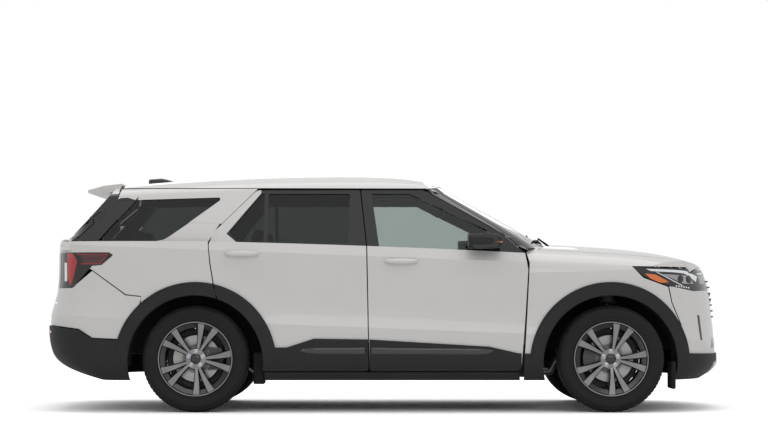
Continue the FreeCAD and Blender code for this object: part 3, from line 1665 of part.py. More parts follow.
front_rim = rim()
plain_tyre = tyre()
for name, x, sign in (
    ("front_left", front_axle_x, 1),
    ("front_right", front_axle_x, -1),
    ("rear_left", rear_axle_x, 1),
    ("rear_right", rear_axle_x, -1),
):
    node("tyre_" + name, [set_wheel(plain_tyre, x, sign)])
    node("rim_" + name, [set_wheel(front_rim, x, sign)])
left_knuckle = knuckle()
node("knuckle_left", [left_knuckle])
node("knuckle_right", [mirrored(left_knuckle)])
node("suspension", [front_suspension(), rear_suspension()])
node("underbody", [underbody()])
node("arch_liners", both(arch_liner(front_axle_x, 500.0, False)) + both(arch_liner(rear_axle_x, 640.0, True)))
node("engine", [engine()])
node("exhaust", [exhaust()])
node("front_seats", front_seats())
node("rear_seats", rear_seats())
node("dashboard", [dashboard().fuse(column())])
node("steering_wheel", [steering_wheel()])


for name, shapes in NODES.items():
    solids = [solid for shape in shapes for solid in shape.Solids]
    shape = solids[0] if len(solids) == 1 else Part.Compound(solids)
    shape.exportStep("parts/" + name + ".step")
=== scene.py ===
import json
import math

import bmesh
import bpy
from mathutils import Matrix, Vector


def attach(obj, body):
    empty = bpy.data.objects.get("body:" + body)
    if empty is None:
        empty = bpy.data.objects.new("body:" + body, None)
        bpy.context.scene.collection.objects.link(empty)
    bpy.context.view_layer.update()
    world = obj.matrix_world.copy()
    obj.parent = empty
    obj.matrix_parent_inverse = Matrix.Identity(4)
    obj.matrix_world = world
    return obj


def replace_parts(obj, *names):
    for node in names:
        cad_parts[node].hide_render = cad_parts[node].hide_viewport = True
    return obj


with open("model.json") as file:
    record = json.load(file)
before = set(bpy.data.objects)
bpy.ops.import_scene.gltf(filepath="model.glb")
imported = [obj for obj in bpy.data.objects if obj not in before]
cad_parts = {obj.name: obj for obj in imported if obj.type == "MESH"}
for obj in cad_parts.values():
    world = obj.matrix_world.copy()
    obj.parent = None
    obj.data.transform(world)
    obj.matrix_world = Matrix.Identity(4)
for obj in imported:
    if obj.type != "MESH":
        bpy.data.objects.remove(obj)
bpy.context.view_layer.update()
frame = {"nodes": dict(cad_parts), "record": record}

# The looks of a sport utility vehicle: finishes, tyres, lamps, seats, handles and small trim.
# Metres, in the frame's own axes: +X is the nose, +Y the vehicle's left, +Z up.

NODES = frame["nodes"]

# The wheels, and the arches over them
FRONT_AXLE_X = 1.6425
REAR_AXLE_X = -1.3825
WHEEL_Y = 0.85
WHEEL_Z = 0.388
ARCH_CENTRE_Z = 0.356
WHEELS = [
    ("front_left", FRONT_AXLE_X, 1),
    ("front_right", FRONT_AXLE_X, -1),
    ("rear_left", REAR_AXLE_X, 1),
    ("rear_right", REAR_AXLE_X, -1),
]
SIDES = (("left", 1), ("right", -1))


# Materials
BUMP_DEPTH = 0.001
DRIFT_LOW = 0.3
DRIFT_HIGH = 0.7


def new_material(name):
    """A material with its Principled shader."""
    made = bpy.data.materials.new(name)
    made.use_nodes = True
    return made, made.node_tree.nodes["Principled BSDF"]


def add_node(made, kind, **settings):
    node = made.node_tree.nodes.new(kind)
    for key, value in settings.items():
        setattr(node, key, value)
    return node


def wire(made, source, target):
    made.node_tree.links.new(source, target)


def set_sockets(node, sockets):
    for socket, value in sockets.items():
        node.inputs[socket].default_value = value


def texture(made, node, output, stretch=None, **sockets):
    """A texture over the object's own coordinates, in metres; stretch squeezes it along the axes."""
    set_sockets(node, sockets)
    source = add_node(made, "ShaderNodeTexCoord").outputs["Object"]
    if stretch:
        mapping = add_node(made, "ShaderNodeMapping")
        mapping.inputs["Scale"].default_value = stretch
        wire(made, source, mapping.inputs["Vector"])
        source = mapping.outputs["Vector"]
    wire(made, source, node.inputs["Vector"])
    return node.outputs[output]


def noise(made, scale, detail=4.0, stretch=None):
    node = add_node(made, "ShaderNodeTexNoise")
    return texture(made, node, "Fac", stretch, Scale=scale, Detail=detail)


def ramp(made, source, low, high, first, second):
    """A colour that goes from first to second as the source goes from low to high."""
    node = add_node(made, "ShaderNodeValToRGB")
    stops = node.color_ramp.elements
    stops[0].position, stops[1].position = low, high
    stops[0].color, stops[1].color = (*first, 1.0), (*second, 1.0)
    wire(made, source, node.inputs["Fac"])
    return node.outputs["Color"]


def bump(made, shader, sources):
    """One bump after another, from (height, strength) pairs."""
    normal = None
    for height, strength in sources:
        node = add_node(made, "ShaderNodeBump")
        set_sockets(node, {"Strength": strength, "Distance": BUMP_DEPTH})
        wire(made, height, node.inputs["Height"])
        if normal:
            wire(made, normal, node.inputs["Normal"])
        normal = node.outputs["Normal"]
    wire(made, normal, shader.inputs["Normal"])


def drifting(name, colour, spread, scale, rough, rough_spread, sockets):
    """A material whose colour and roughness drift a little over the surface."""
    made, shader = new_material(name)
    cloud = noise(made, scale, 5.0)
    ends = [
        ("Base Color", [c * (1 - spread) for c in colour], [c * (1 + spread) for c in colour]),
        ("Roughness", [rough - rough_spread] * 3, [rough + rough_spread] * 3),
    ]
    for socket, low, high in ends:
        wire(made, ramp(made, cloud, DRIFT_LOW, DRIFT_HIGH, low, high), shader.inputs[socket])
    set_sockets(shader, sockets)
    return made, shader


def paint(name, colour):
    """Solid paint under clear coat: a soft ripple, and a very slight drift of its colour."""
    sockets = {"Coat Weight": 0.85, "Coat Roughness": 0.035, "Specular IOR Level": 0.35}
    made, shader = drifting(name, colour, 0.012, 2.2, 0.42, 0.03, sockets)
    bump(made, shader, [(noise(made, 900.0, 2.0), 0.02), (noise(made, 55.0, 1.0), 0.012)])
    return made


def plastic(name, colour, rough, grain, depth, specular=0.4):
    """Moulded plastic with a fine grain."""
    made, shader = drifting(name, colour, 0.12, 6.0, rough, 0.05, {"Specular IOR Level": specular})
    cells = texture(made, add_node(made, "ShaderNodeTexVoronoi"), "Distance", Scale=grain)
    bump(made, shader, [(cells, depth), (noise(made, grain * 0.4), depth)])
    return made


def gloss(name, colour, rough=0.06):
    """Polished dark moulding."""
    sockets = {"Coat Weight": 0.6, "Coat Roughness": 0.03}
    made, shader = drifting(name, colour, 0.1, 3.0, rough, 0.02, sockets)
    bump(made, shader, [(noise(made, 70.0, 1.0), 0.01)])
    return made


def metal(name, colour, rough, scale, depth, stretch=None):
    """Bare or cast metal."""
    made, shader = drifting(name, colour, 0.12, 9.0, rough, 0.07, {"Metallic": 1.0})
    bump(made, shader, [(noise(made, scale, 6.0, stretch), depth)])
    return made


def glass(name, colour):
    """Tinted glass, with the faintest ripple."""
    made, shader = new_material(name)
    sockets = {"Base Color": (*colour, 1.0), "Roughness": 0.0, "Transmission Weight": 1.0, "IOR": 1.46}
    set_sockets(shader, sockets)
    bump(made, shader, [(noise(made, 6.0, 1.0), 0.01)])
    return made


def lens(name, colour, lines, glow=0.0):
    """A moulded lamp lens with upright flutes inside."""
    made, shader = new_material(name)
    wave = texture(made, add_node(made, "ShaderNodeTexWave"), "Fac", Scale=lines)
    low = [c * 0.55 for c in colour]
    wire(made, ramp(made, wave, 0.2, 0.8, low, colour), shader.inputs["Base Color"])
    set_sockets(shader, {"Roughness": 0.12, "Coat Weight": 1.0, "Coat Roughness": 0.02})
    if glow:
        set_sockets(shader, {"Emission Color": (*colour, 1.0), "Emission Strength": glow})
    bump(made, shader, [(wave, 0.3)])
    return made


def rubber(name, colour):
    """Tyre rubber: dusty black, with a fine grain."""
    made, shader = drifting(name, colour, 0.25, 14.0, 0.62, 0.08, {"Specular IOR Level": 0.22})
    bump(made, shader, [(noise(made, 320.0), 0.12), (noise(made, 60.0, 2.0), 0.05)])
    return made


def leather(name, colour):
    """Seat cover: pebbled grain with soft wrinkles."""
    made, shader = drifting(name, colour, 0.2, 8.0, 0.5, 0.08, {"Sheen Weight": 0.15})
    pebbles = add_node(made, "ShaderNodeTexVoronoi", feature="DISTANCE_TO_EDGE")
    grain = texture(made, pebbles, "Distance", Scale=420.0)
    bump(made, shader, [(grain, 0.35), (noise(made, 30.0), 0.25)])
    return made


FINISHES = [
    (paint, "body_paint", (0.60, 0.587, 0.572)),
    (paint, "structure_paint", (0.36, 0.35, 0.34)),
    (plastic, "dark_plastic", (0.017, 0.017, 0.018), 0.6, 700.0, 0.18, 0.3),
    (gloss, "gloss_black", (0.008, 0.008, 0.009)),
    (glass, "side_glass", (0.13, 0.14, 0.14)),
    (glass, "clear_glass", (0.52, 0.57, 0.55)),
    (glass, "lamp_clear", (0.97, 0.98, 1.0)),
    (lens, "lamp_red", (0.55, 0.008, 0.01), 90.0),
    (rubber, "tyre", (0.012, 0.012, 0.0125)),
    (metal, "wheel_alloy", (0.12, 0.12, 0.125), 0.34, 500.0, 0.03),
    (metal, "cast_parts", (0.12, 0.12, 0.12), 0.6, 160.0, 0.35),
    (metal, "engine_block", (0.17, 0.17, 0.175), 0.62, 120.0, 0.4),
    (metal, "exhaust_steel", (0.42, 0.40, 0.38), 0.36, 90.0, 0.1),
    (leather, "seat_cover", (0.05, 0.048, 0.047)),
    (plastic, "dash_plastic", (0.03, 0.03, 0.031), 0.6, 900.0, 0.25),
    (plastic, "headliner", (0.42, 0.41, 0.39), 0.9, 1200.0, 0.3, 0.1),
    (plastic, "carpet", (0.03, 0.029, 0.028), 0.95, 1500.0, 0.8, 0.05),
    (metal, "disc_steel", (0.40, 0.39, 0.38), 0.32, 260.0, 0.06, (1, 40, 1)),
    (metal, "bright_metal", (0.62, 0.62, 0.63), 0.2, 200.0, 0.02),
    (metal, "reflector", (0.42, 0.42, 0.43), 0.12, 40.0, 0.01),
    (lens, "lamp_amber", (0.75, 0.16, 0.01), 120.0, 0.15),
    (lens, "lamp_dim", (0.075, 0.006, 0.007), 60.0),
    (lens, "lamp_white", (0.86, 0.87, 0.88), 40.0, 0.12),
    (metal, "wheel_machined", (0.27, 0.27, 0.275), 0.3, 400.0, 0.02),
    (metal, "mirror_glass", (0.75, 0.77, 0.78), 0.02, 5.0, 0.002),
    # Near-black plastic, darker than dark_plastic: the liners' own black, darkened further as painted
    # shade inside the wheel arches and under the body
    (plastic, "liner_black", (0.008, 0.008, 0.008), 0.9, 900.0, 0.0006),
    (gloss, "satin_black", (0.022, 0.022, 0.023), 0.28),
    (metal, "skid_silver", (0.45, 0.45, 0.455), 0.35, 300.0, 0.05),
]
MATERIALS = {name: make(name, *settings) for make, name, *settings in FINISHES}
# The record's slot for each finish that isn't a slot itself, where a piece names no other
SLOTS = {
    "headliner": "dash_plastic", "disc_steel": "wheel_alloy", "bright_metal": "wheel_alloy",
    "skid_silver": "wheel_alloy", "reflector": "lamp_clear", "lamp_amber": "lamp_clear",
    "lamp_white": "lamp_clear", "lamp_dim": "lamp_red", "mirror_glass": "side_glass",
    "liner_black": "dark_plastic", "satin_black": "gloss_black",
}


# Mesh helpers
WELD = 1e-6
CRISP = 30.0
SMOOTH = 40.0
FAR = 3.2


def new_object(name, data):
    """An object of some data, linked into the scene."""
    thing = bpy.data.objects.new(name, data)
    bpy.context.scene.collection.objects.link(thing)
    return thing


def piece(name, verts, faces, material, body, degrees, slot):
    """A new mesh piece that rides on a body, smooth but for edges sharper than an angle."""
    mesh = bpy.data.meshes.new(name)
    mesh.from_pydata([tuple(v) for v in verts], [], faces)
    mesh.validate()
    cleaned = bmesh.new()
    cleaned.from_mesh(mesh)
    bmesh.ops.remove_doubles(cleaned, verts=cleaned.verts, dist=WELD)
    bmesh.ops.recalc_face_normals(cleaned, faces=cleaned.faces)
    cleaned.to_mesh(mesh)
    cleaned.free()
    for polygon in mesh.polygons:
        polygon.use_smooth = True
    mesh.set_sharp_from_angle(angle=math.radians(degrees))
    mesh.materials.append(MATERIALS[material])
    thing = new_object(name, mesh)
    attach(thing, body)
    slot or SLOTS.get(material, material)
    return thing


class Build:
    """Collects vertices and faces of several forms for one piece."""

    def __init__(self):
        self.verts = []
        self.faces = []

    def add(self, verts, faces, matrix=None):
        base = len(self.verts)
        for v in verts:
            self.verts.append(matrix @ Vector(v) if matrix else Vector(v))
        self.faces += [tuple(base + k for k in face) for face in faces]
        return self

    def make(self, name, material, body="root", degrees=SMOOTH, slot=None):
        return piece(name, self.verts, self.faces, material, body, degrees, slot)


def loops(rings, closed_ring=True, caps=True):
    """Faces between rings of equally many points, with an end cap on each side."""
    verts = [p for ring in rings for p in ring]
    count = len(rings[0])
    faces = []
    for k in range(len(rings) - 1):
        for j in range(count if closed_ring else count - 1):
            a, b = k * count + j, k * count + (j + 1) % count
            faces.append((a, b, b + count, a + count))
    if caps:
        faces.append(tuple(range(count)))
        faces.append(tuple(range((len(rings) - 1) * count, len(rings) * count)))
    return verts, faces


def tube(points, radii, sides=12, flat=1.0):
    """A bar along points, with a radius at each; flat squeezes its section upwards."""
    points = [Vector(p) for p in points]
    up = Vector((0, 0, 1))
    rings = []
    for k, point in enumerate(points):
        ahead = (points[min(k + 1, len(points) - 1)] - points[max(k - 1, 0)]).normalized()
        side = ahead.cross(up)
        side = side.normalized() if side.length > WELD else Vector((0, 1, 0))
        top = side.cross(ahead).normalized()
        radius = radii[k] if isinstance(radii, (list, tuple)) else radii
        ring = []
        for j in range(sides):
            turn = 2 * math.pi * j / sides
            ring.append(
                point + side * math.cos(turn) * radius + top * math.sin(turn) * radius * flat
            )
        rings.append(ring)
    return loops(rings)


def rounded_box(size, radius):
    """A box about the origin with rounded edges."""
    made = bmesh.new()
    bmesh.ops.create_cube(made, size=1.0)
    for v in made.verts:
        v.co = Vector([v.co[i] * size[i] for i in range(3)])
    bmesh.ops.bevel(
        made, geom=list(made.edges), offset=radius, segments=3, profile=0.5, affect="EDGES"
    )
    made.verts.ensure_lookup_table()
    verts = [v.co.copy() for v in made.verts]
    faces = [tuple(v.index for v in f.verts) for f in made.faces]
    made.free()
    return verts, faces


def turned(section, steps=48, closed=False):
    """A form turned about the Y axis from (radius, y) points."""
    rings = []
    for k in range(steps):
        turn = 2 * math.pi * k / steps
        rings.append([Vector((r * math.cos(turn), y, r * math.sin(turn))) for r, y in section])
    rings.append(rings[0])
    return loops(rings, closed_ring=closed, caps=False)


def cad_hit(node, origin, direction):
    """Where a ray meets a CAD node: the point and the surface's normal."""
    found, point, normal, _ = NODES[node].ray_cast(Vector(origin), Vector(direction).normalized())
    if not found:
        raise RuntimeError("no surface of " + node + " at " + str(tuple(origin)))
    return point, normal


def side_hit(node, x, z, sign):
    """The outer surface of a node on one side, at a place seen from the side."""
    return cad_hit(node, (x, sign * FAR, z), (0, -sign, 0))


def along(line, share):
    """The place at a share of a line's points, counted in straight runs."""
    spot = share * (len(line) - 1)
    k = min(int(spot), len(line) - 2)
    return [a + (b - a) * (spot - k) for a, b in zip(line[k], line[k + 1])]


# CAD nodes keep their shape and get their finish
PILLAR_TOP_X = -1.848
PILLAR_TOP_Z = 1.556
PILLAR_LEAN = 0.839
PILLAR_SEAM = 0.014
BAND_LOW = 1.262
GATE_BAND_HIGH = 1.602
QUARTER_BAND_HIGH = 1.570
CLADDING_TOP = 1.0
TINTED_GLASS_FRONT_X = -0.9
CABIN_FRONT_X = 1.0
ARCH_ROOM = 0.53
ARCH_INNER_Y = 0.45
SILL_INNER_Y = 0.8
SILL_TOP = 0.5
CABIN_TRIM_LOW = 0.9
CARPET_TOP = 0.4


def dress_nodes():
    for part in frame["record"]["subparts"]:
        thing = NODES[part["node"]]
        thing.data.materials.clear()
        thing.data.materials.append(MATERIALS[part["material_slot"]])
        for polygon in thing.data.polygons:
            polygon.material_index = 0


def repaint(node, material, choose):
    """Gives another finish to the faces of a CAD node that a test picks by centre and normal."""
    mesh = NODES[node].data
    mesh.materials.append(MATERIALS[material])
    index = len(mesh.materials) - 1
    for polygon in mesh.polygons:
        if choose(polygon.center, polygon.normal):
            polygon.material_index = index


def whole(centre, normal):
    """Every face."""
    return True


def inner_faces(centre, normal):
    """Faces of a door that look into the cabin."""
    side = 1 if centre.y > 0 else -1
    return normal.y * side < -0.3


def pillar_edge(centre):
    """Where the cover of the rearmost pillar starts at a face's height."""
    return PILLAR_TOP_X - (PILLAR_TOP_Z - centre.z) * PILLAR_LEAN


def gate_band(centre, normal):
    """Faces between the waist and the spoiler, which are black all round the rear window."""
    return BAND_LOW < centre.z < GATE_BAND_HIGH


def quarter_band(centre, normal):
    """Faces of the quarter panel beside the cover of the rearmost pillar."""
    return BAND_LOW < centre.z < QUARTER_BAND_HIGH and centre.x < pillar_edge(centre) + PILLAR_SEAM


def inside_arch(centre, normal):
    """Faces of the body's structure that look into a wheel arch."""
    for axle_x in (FRONT_AXLE_X, REAR_AXLE_X):
        reach = math.hypot(centre.x - axle_x, centre.z - ARCH_CENTRE_Z)
        if reach < ARCH_ROOM and abs(centre.y) > ARCH_INNER_Y:
            return True
    return False


def sill_faces(centre, normal):
    """Faces of the side frames that show under the doors."""
    return abs(centre.y) > SILL_INNER_Y and centre.z < SILL_TOP


def floor_faces(centre, normal):
    """Faces of the floor that people stand on."""
    return normal.z > 0.5 and centre.x < CABIN_FRONT_X


dress_nodes()
for place_name in ("front", "rear"):
    for side_name, side_sign in SIDES:
        door_name = place_name + "_" + side_name
        repaint("door_" + door_name, "dash_plastic", inner_faces)
        repaint("door_trim_" + door_name, "dark_plastic", lambda c, normal: c.z < CLADDING_TOP)
repaint("roof", "headliner", lambda centre, normal: normal.z < -0.4)
repaint("fixed_glass", "side_glass", lambda centre, normal: centre.x < TINTED_GLASS_FRONT_X)
repaint("fixed_glass", "gloss_black", lambda centre, normal: centre.x < pillar_edge(centre))
repaint("liftgate", "gloss_black", gate_band)
repaint("rear_quarters", "gloss_black", quarter_band)
for lamp_node in ("gate_lamps", "tail_lamps", "headlamps"):
    repaint(lamp_node, "gloss_black", whole)
# Painted shade: the arch liners, the underbody's lower faces and the structure inside the wheel arches
# go near-black, partly for black plastic and underseal, partly for the shade in the arches and under
# the car
repaint("arch_liners", "liner_black", whole)
repaint("underbody", "liner_black", lambda centre, normal: normal.z < 0.5)
repaint("underbody", "liner_black", inside_arch)
repaint("underbody", "carpet", floor_faces)
repaint("side_frames", "liner_black", inside_arch)
repaint("side_frames", "dark_plastic", sill_faces)
repaint("side_frames", "dash_plastic", lambda centre, normal: centre.z > CABIN_TRIM_LOW)
repaint("dashboard", "carpet", lambda centre, normal: centre.z < CARPET_TOP)


def wheel_seat(x, sign):
    """Takes a form about the Y axis to a wheel, with its face outwards."""
    return Matrix.Translation((x, sign * WHEEL_Y, WHEEL_Z)) @ Matrix.Diagonal((1, sign, 1, 1))


# Tyres: a smooth section with rings on the sidewall and a cut tread
TYRE_RADIUS = 0.388
TREAD_HALF = 0.100
TREAD_EDGE_SHARE = 0.92
SHOULDER_SHARE = 0.6
CENTRE_SHARE = 0.2
SHOULDER_DROP = 0.0028
GROOVE_SHARES = (-0.56, -0.19, 0.19, 0.56)
GROOVE_HALF = 0.0055
GROOVE_WALL = 0.0004
GROOVE_DEPTH = 0.008
SIPE_DEPTH_SHARE = 0.8
CENTRE_SIPE_DEPTH_SHARE = 0.5
PITCHES = 72
PITCH_STEPS = 6
# Half of the section from the bead to the tread's edge, as (radius, offset)
TYRE_SIDE = [
    (0.262, 0.098), (0.262, 0.112), (0.2745, 0.1125), (0.278, 0.1165), (0.284, 0.1195),
    (0.290, 0.1205), (0.294, 0.1188), (0.302, 0.1222), (0.312, 0.1252), (0.326, 0.1274),
    (0.336, 0.1271), (0.337, 0.1277), (0.341, 0.1277), (0.342, 0.1262), (0.352, 0.1232),
    (0.3605, 0.1198), (0.3680, 0.1130), (0.3742, 0.1065), (0.3785, 0.1000),
]


def tread_points():
    """Places across the tread, with the grooves' edges."""
    offsets = [-TREAD_HALF * TREAD_EDGE_SHARE]
    for share in GROOVE_SHARES:
        middle = share * TREAD_HALF
        offsets += [middle - GROOVE_HALF - GROOVE_WALL, middle - GROOVE_HALF]
        offsets += [middle + GROOVE_HALF, middle + GROOVE_HALF + GROOVE_WALL]
    offsets.append(TREAD_HALF * TREAD_EDGE_SHARE)
    return offsets


def tread_height(offset, step):
    """The tread's radius at a place across and a step round it, with sipes between blocks."""
    share = abs(offset) / TREAD_HALF
    fall = max(0.0, share - SHOULDER_SHARE) / (1 - SHOULDER_SHARE)
    radius = TYRE_RADIUS - SHOULDER_DROP * fall ** 2
    for middle in GROOVE_SHARES:
        if abs(offset - middle * TREAD_HALF) <= GROOVE_HALF + WELD:
            return radius - GROOVE_DEPTH
    phase = (step + (2 if offset > 0 else 0)) % PITCH_STEPS
    if share > SHOULDER_SHARE and phase == 0:
        return radius - GROOVE_DEPTH * SIPE_DEPTH_SHARE
    if CENTRE_SHARE < share < SHOULDER_SHARE and (step + PITCH_STEPS // 2) % PITCH_STEPS == 0:
        return radius - GROOVE_DEPTH * CENTRE_SIPE_DEPTH_SHARE
    return radius


def make_tyre(name, x, sign):
    offsets = tread_points()
    rings = []
    steps = PITCHES * PITCH_STEPS
    for step in range(steps):
        turn = 2 * math.pi * step / steps
        outline = [(r, -y) for r, y in TYRE_SIDE]
        outline += [(tread_height(y, step), y) for y in offsets]
        outline += [(r, y) for r, y in reversed(TYRE_SIDE)]
        ring = []
        for radius, y in outline:
            place_x = x + radius * math.cos(turn)
            place_z = WHEEL_Z + radius * math.sin(turn)
            ring.append(Vector((place_x, sign * WHEEL_Y + y, place_z)))
        rings.append(ring)
    rings.append(rings[0])
    tyre = Build().add(*loops(rings, caps=False))
    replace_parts(tyre.make("tyre_tread_" + name, "tyre", "wheel_" + name), "tyre_" + name)


# What is fitted to a wheel's face: nuts, a plain cap and the valve
HUB_FACE = 0.078
NUT_CIRCLE = 0.054
NUT_COUNT = 5
NUT_RADIUS = 0.0115
NUT_SINK = 0.003
CAP_SINK = 0.006
VALVE_CIRCLE = 0.222
VALVE_FACE = 0.094
NUT_SECTION = [(0.0, 0.012), (NUT_RADIUS * 0.8, 0.012), (NUT_RADIUS, 0.009), (NUT_RADIUS, 0.0)]
WASHER_SECTION = [(NUT_RADIUS * 1.35, 0.0), (NUT_RADIUS * 1.35, 0.003), (NUT_RADIUS, 0.004)]
VALVE_SECTION = [(0.0, 0.014), (0.004, 0.013), (0.0045, 0.0)]
CAP_SECTION = [
    (0.0, 0.0095), (0.012, 0.009), (0.024, 0.0065), (0.029, 0.0035), (0.030, 0.0052),
    (0.033, 0.0045), (0.033, -0.004),
]


def make_wheel_fittings(name, x, sign):
    seat = wheel_seat(x, sign)
    nuts = Build()
    for k in range(NUT_COUNT):
        turn = math.radians(90 + 360 * k / NUT_COUNT)
        move = Matrix.Translation(
            (NUT_CIRCLE * math.cos(turn), HUB_FACE - NUT_SINK, NUT_CIRCLE * math.sin(turn))
        )
        nuts.add(*turned(NUT_SECTION, 6), matrix=seat @ move)
        nuts.add(*turned(WASHER_SECTION, 20), matrix=seat @ move)
    valve = Matrix.Translation((0.0, VALVE_FACE, VALVE_CIRCLE))
    nuts.add(*turned(VALVE_SECTION, 12), matrix=seat @ valve)
    nuts.make("wheel_nuts_" + name, "bright_metal", "wheel_" + name, CRISP)
    cap = Matrix.Translation((0.0, HUB_FACE - CAP_SINK, 0.0))
    cap_form = Build().add(*turned(CAP_SECTION), matrix=seat @ cap)
    cap_form.make("wheel_cap_" + name, "gloss_black", "wheel_" + name)


for wheel in WHEELS:
    make_tyre(*wheel)
    make_wheel_fittings(*wheel)


# Wheel faces: a dished barrel, five pairs of split spokes and the brake disc behind them
SPOKE_FIRST = 68.0
SPOKE_PAIRS = 5
SPOKE_STEPS = 8
SPOKE_START = 0.060
SPOKE_END = 0.2605
SPOKE_TURN = 8.5
SPOKE_SPREAD = 4.2
SPOKE_HALF = 0.0125
SPOKE_FLARE = 0.0160
SPOKE_FACE = 0.0765
SPOKE_RISE = 0.0275
SPOKE_DEPTH = 0.052
SPOKE_THIN = 0.020
# A leg's section from its back edge over the face: how far each corner is outside the half width
# and behind the face
SPOKE_CORNERS = [(0.001, 0.008), (-0.002, 0.002), (-0.005, 0.0)]
SPOKE_BACK_OUT = 0.004
MACHINED_FACE = 0.93
BARREL_SECTION = [
    (0.2617, -0.120), (0.272, -0.120), (0.272, -0.114), (0.2617, -0.112), (0.2617, -0.080),
    (0.238, -0.060), (0.238, 0.060), (0.2617, 0.080), (0.2617, 0.113), (0.2700, 0.1135),
    (0.272, 0.1155), (0.272, 0.1190), (0.2700, 0.1203), (0.2640, 0.1195), (0.2605, 0.1150),
    (0.2590, 0.1040), (0.2560, 0.1000), (0.2270, 0.0800), (0.2240, 0.0760), (0.2235, 0.0600),
    (0.2235, -0.062), (0.250, -0.084), (0.250, -0.120),
]
HUB_SECTION = [
    (0.0, 0.040), (0.082, 0.040), (0.082, 0.066), (0.079, 0.0735), (0.073, 0.078),
    (0.040, 0.078), (0.036, 0.0755), (0.034, 0.072), (0.0, 0.072),
]
DISC_SECTION = [
    (0.0265, -0.032), (0.1705, -0.032), (0.172, -0.0305), (0.172, -0.0215), (0.166, -0.0205),
    (0.166, -0.0155), (0.172, -0.0145), (0.172, -0.0055), (0.1705, -0.004), (0.100, -0.004),
    (0.096, -0.0055), (0.079, -0.0055), (0.077, 0.000), (0.077, 0.041), (0.0265, 0.041),
]
SHIELD_SECTION = [
    (0.060, -0.056), (0.090, -0.060), (0.205, -0.060), (0.216, -0.052), (0.218, -0.034),
    (0.216, -0.034), (0.214, -0.050), (0.204, -0.058), (0.090, -0.058), (0.060, -0.054),
]


def spoke_leg(angle, side):
    """One leg of a split spoke: a flat face with chamfers and deep drafted walls."""
    rings = []
    for k in range(SPOKE_STEPS + 1):
        share = k / SPOKE_STEPS
        radius = SPOKE_START + (SPOKE_END - SPOKE_START) * share
        turn = math.radians(angle + side * (SPOKE_TURN + SPOKE_SPREAD * share))
        half = SPOKE_HALF + SPOKE_FLARE * share ** 1.25
        face = SPOKE_FACE + SPOKE_RISE * share ** 0.8
        back = face - SPOKE_DEPTH + SPOKE_THIN * share
        out = Vector((math.cos(turn), 0, math.sin(turn)))
        across = Vector((-math.sin(turn), 0, math.cos(turn)))
        section = [(half + SPOKE_BACK_OUT, back)]
        section += [(half + wide, face - deep) for wide, deep in SPOKE_CORNERS]
        section = [(-offset, y) for offset, y in section] + section[::-1]
        rings.append([out * radius + across * offset + Vector((0, y, 0)) for offset, y in section])
    return loops(rings)


def make_rim(name, x, sign):
    """The wheel in place of the plain rim, the disc that turns with it and the shield behind."""
    seat = wheel_seat(x, sign)
    wheel = Build()
    wheel.add(*turned(BARREL_SECTION, 96, True), matrix=seat)
    wheel.add(*turned(HUB_SECTION, 64), matrix=seat)
    for k in range(SPOKE_PAIRS):
        for side in (-1, 1):
            wheel.add(*spoke_leg(SPOKE_FIRST + 360 * k / SPOKE_PAIRS, side), matrix=seat)
    made = wheel.make("wheel_face_" + name, "wheel_alloy", "wheel_" + name, CRISP)
    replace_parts(made, "rim_" + name)
    made.data.materials.append(MATERIALS["wheel_machined"])
    for polygon in made.data.polygons:
        if polygon.normal.y * sign > MACHINED_FACE:
            polygon.material_index = 1
    disc = Build().add(*turned(DISC_SECTION, 96, True), matrix=seat)
    disc.make("brake_disc_" + name, "disc_steel", "wheel_" + name, CRISP)
    carrier = "knuckle_" + ("left" if sign > 0 else "right") if x > 0 else "root"
    shield = Build().add(*turned(SHIELD_SECTION, 64, True), matrix=seat)
    shield.make("brake_shield_" + name, "cast_parts", carrier)


for wheel in WHEELS:
    make_rim(*wheel)


# Plates that lie on the body: each is a grid of places cast onto the CAD surface
PLATE_SINK = 0.002
VIEWS = {
    "left": (lambda u, v: (u, FAR, v), (0, -1, 0)),
    "right": (lambda u, v: (u, -FAR, v), (0, 1, 0)),
    "front": (lambda u, v: (FAR, u, v), (-1, 0, 0)),
    "rear": (lambda u, v: (-FAR, u, v), (1, 0, 0)),
    "top": (lambda u, v: (u, v, FAR), (0, 0, -1)),
}


def first_hit(nodes, origin, direction, depth, normal):
    """The nearest surface along a ray, or, in a gap between panels, the surface beside it."""
    best = None
    origin = Vector(origin)
    for node in nodes:
        found, point, facing, _ = NODES[node].ray_cast(origin, Vector(direction))
        if found and (best is None or (point - origin).length < best[2]):
            best = (point, facing, (point - origin).length)
    if best is None:
        beside = origin + Vector(direction) * depth
        point = NODES[nodes[0]].closest_point_on_mesh(beside)[1]
        best = (point, normal, depth)
    return best


def slab(columns, rows, spot):
    """A thin closed slab; spot gives its outer and inner point at two shares."""
    outer, inner = [], []
    for j in range(rows + 1):
        for i in range(columns + 1):
            first, second = spot(i / columns, j / rows)
            outer.append(first)
            inner.append(second)
    width = columns + 1
    total = width * (rows + 1)
    faces = []
    for j in range(rows):
        for i in range(columns):
            k = j * width + i
            faces.append((k, k + 1, k + 1 + width, k + width))
            faces.append((total + k, total + k + width, total + k + 1 + width, total + k + 1))
    rim = list(range(width))
    rim += [j * width + columns for j in range(1, rows + 1)]
    rim += [rows * width + i for i in range(columns - 1, -1, -1)]
    rim += [j * width for j in range(rows - 1, 0, -1)]
    for a, b in zip(rim, rim[1:] + rim[:1]):
        faces.append((a, b, b + total, a + total))
    return outer + inner, faces


def plate(nodes, view, first, second, stand, columns=12, rows=3, soft=0.4):
    """A thin crowned plate between two lines seen from one side; soft is its edge's share of the
    stand. Where a ray meets nothing, the last depth and normal are used."""
    start, direction = VIEWS[view]
    away = -Vector(direction)
    last = {"depth": FAR, "normal": away}

    def spot(across, down):
        u, v = along([along(first, across), along(second, across)], down)
        point, normal, depth = first_hit(nodes, start(u, v), direction, last["depth"], last["normal"])
        if normal.dot(away) < 0:
            normal = -normal
        last.update(depth=depth, normal=normal)
        edge = max(abs(2 * down - 1), abs(2 * across - 1)) > 0.999
        return point + normal * stand * (soft if edge else 1.0), point - normal * PLATE_SINK

    return slab(columns, rows, spot)


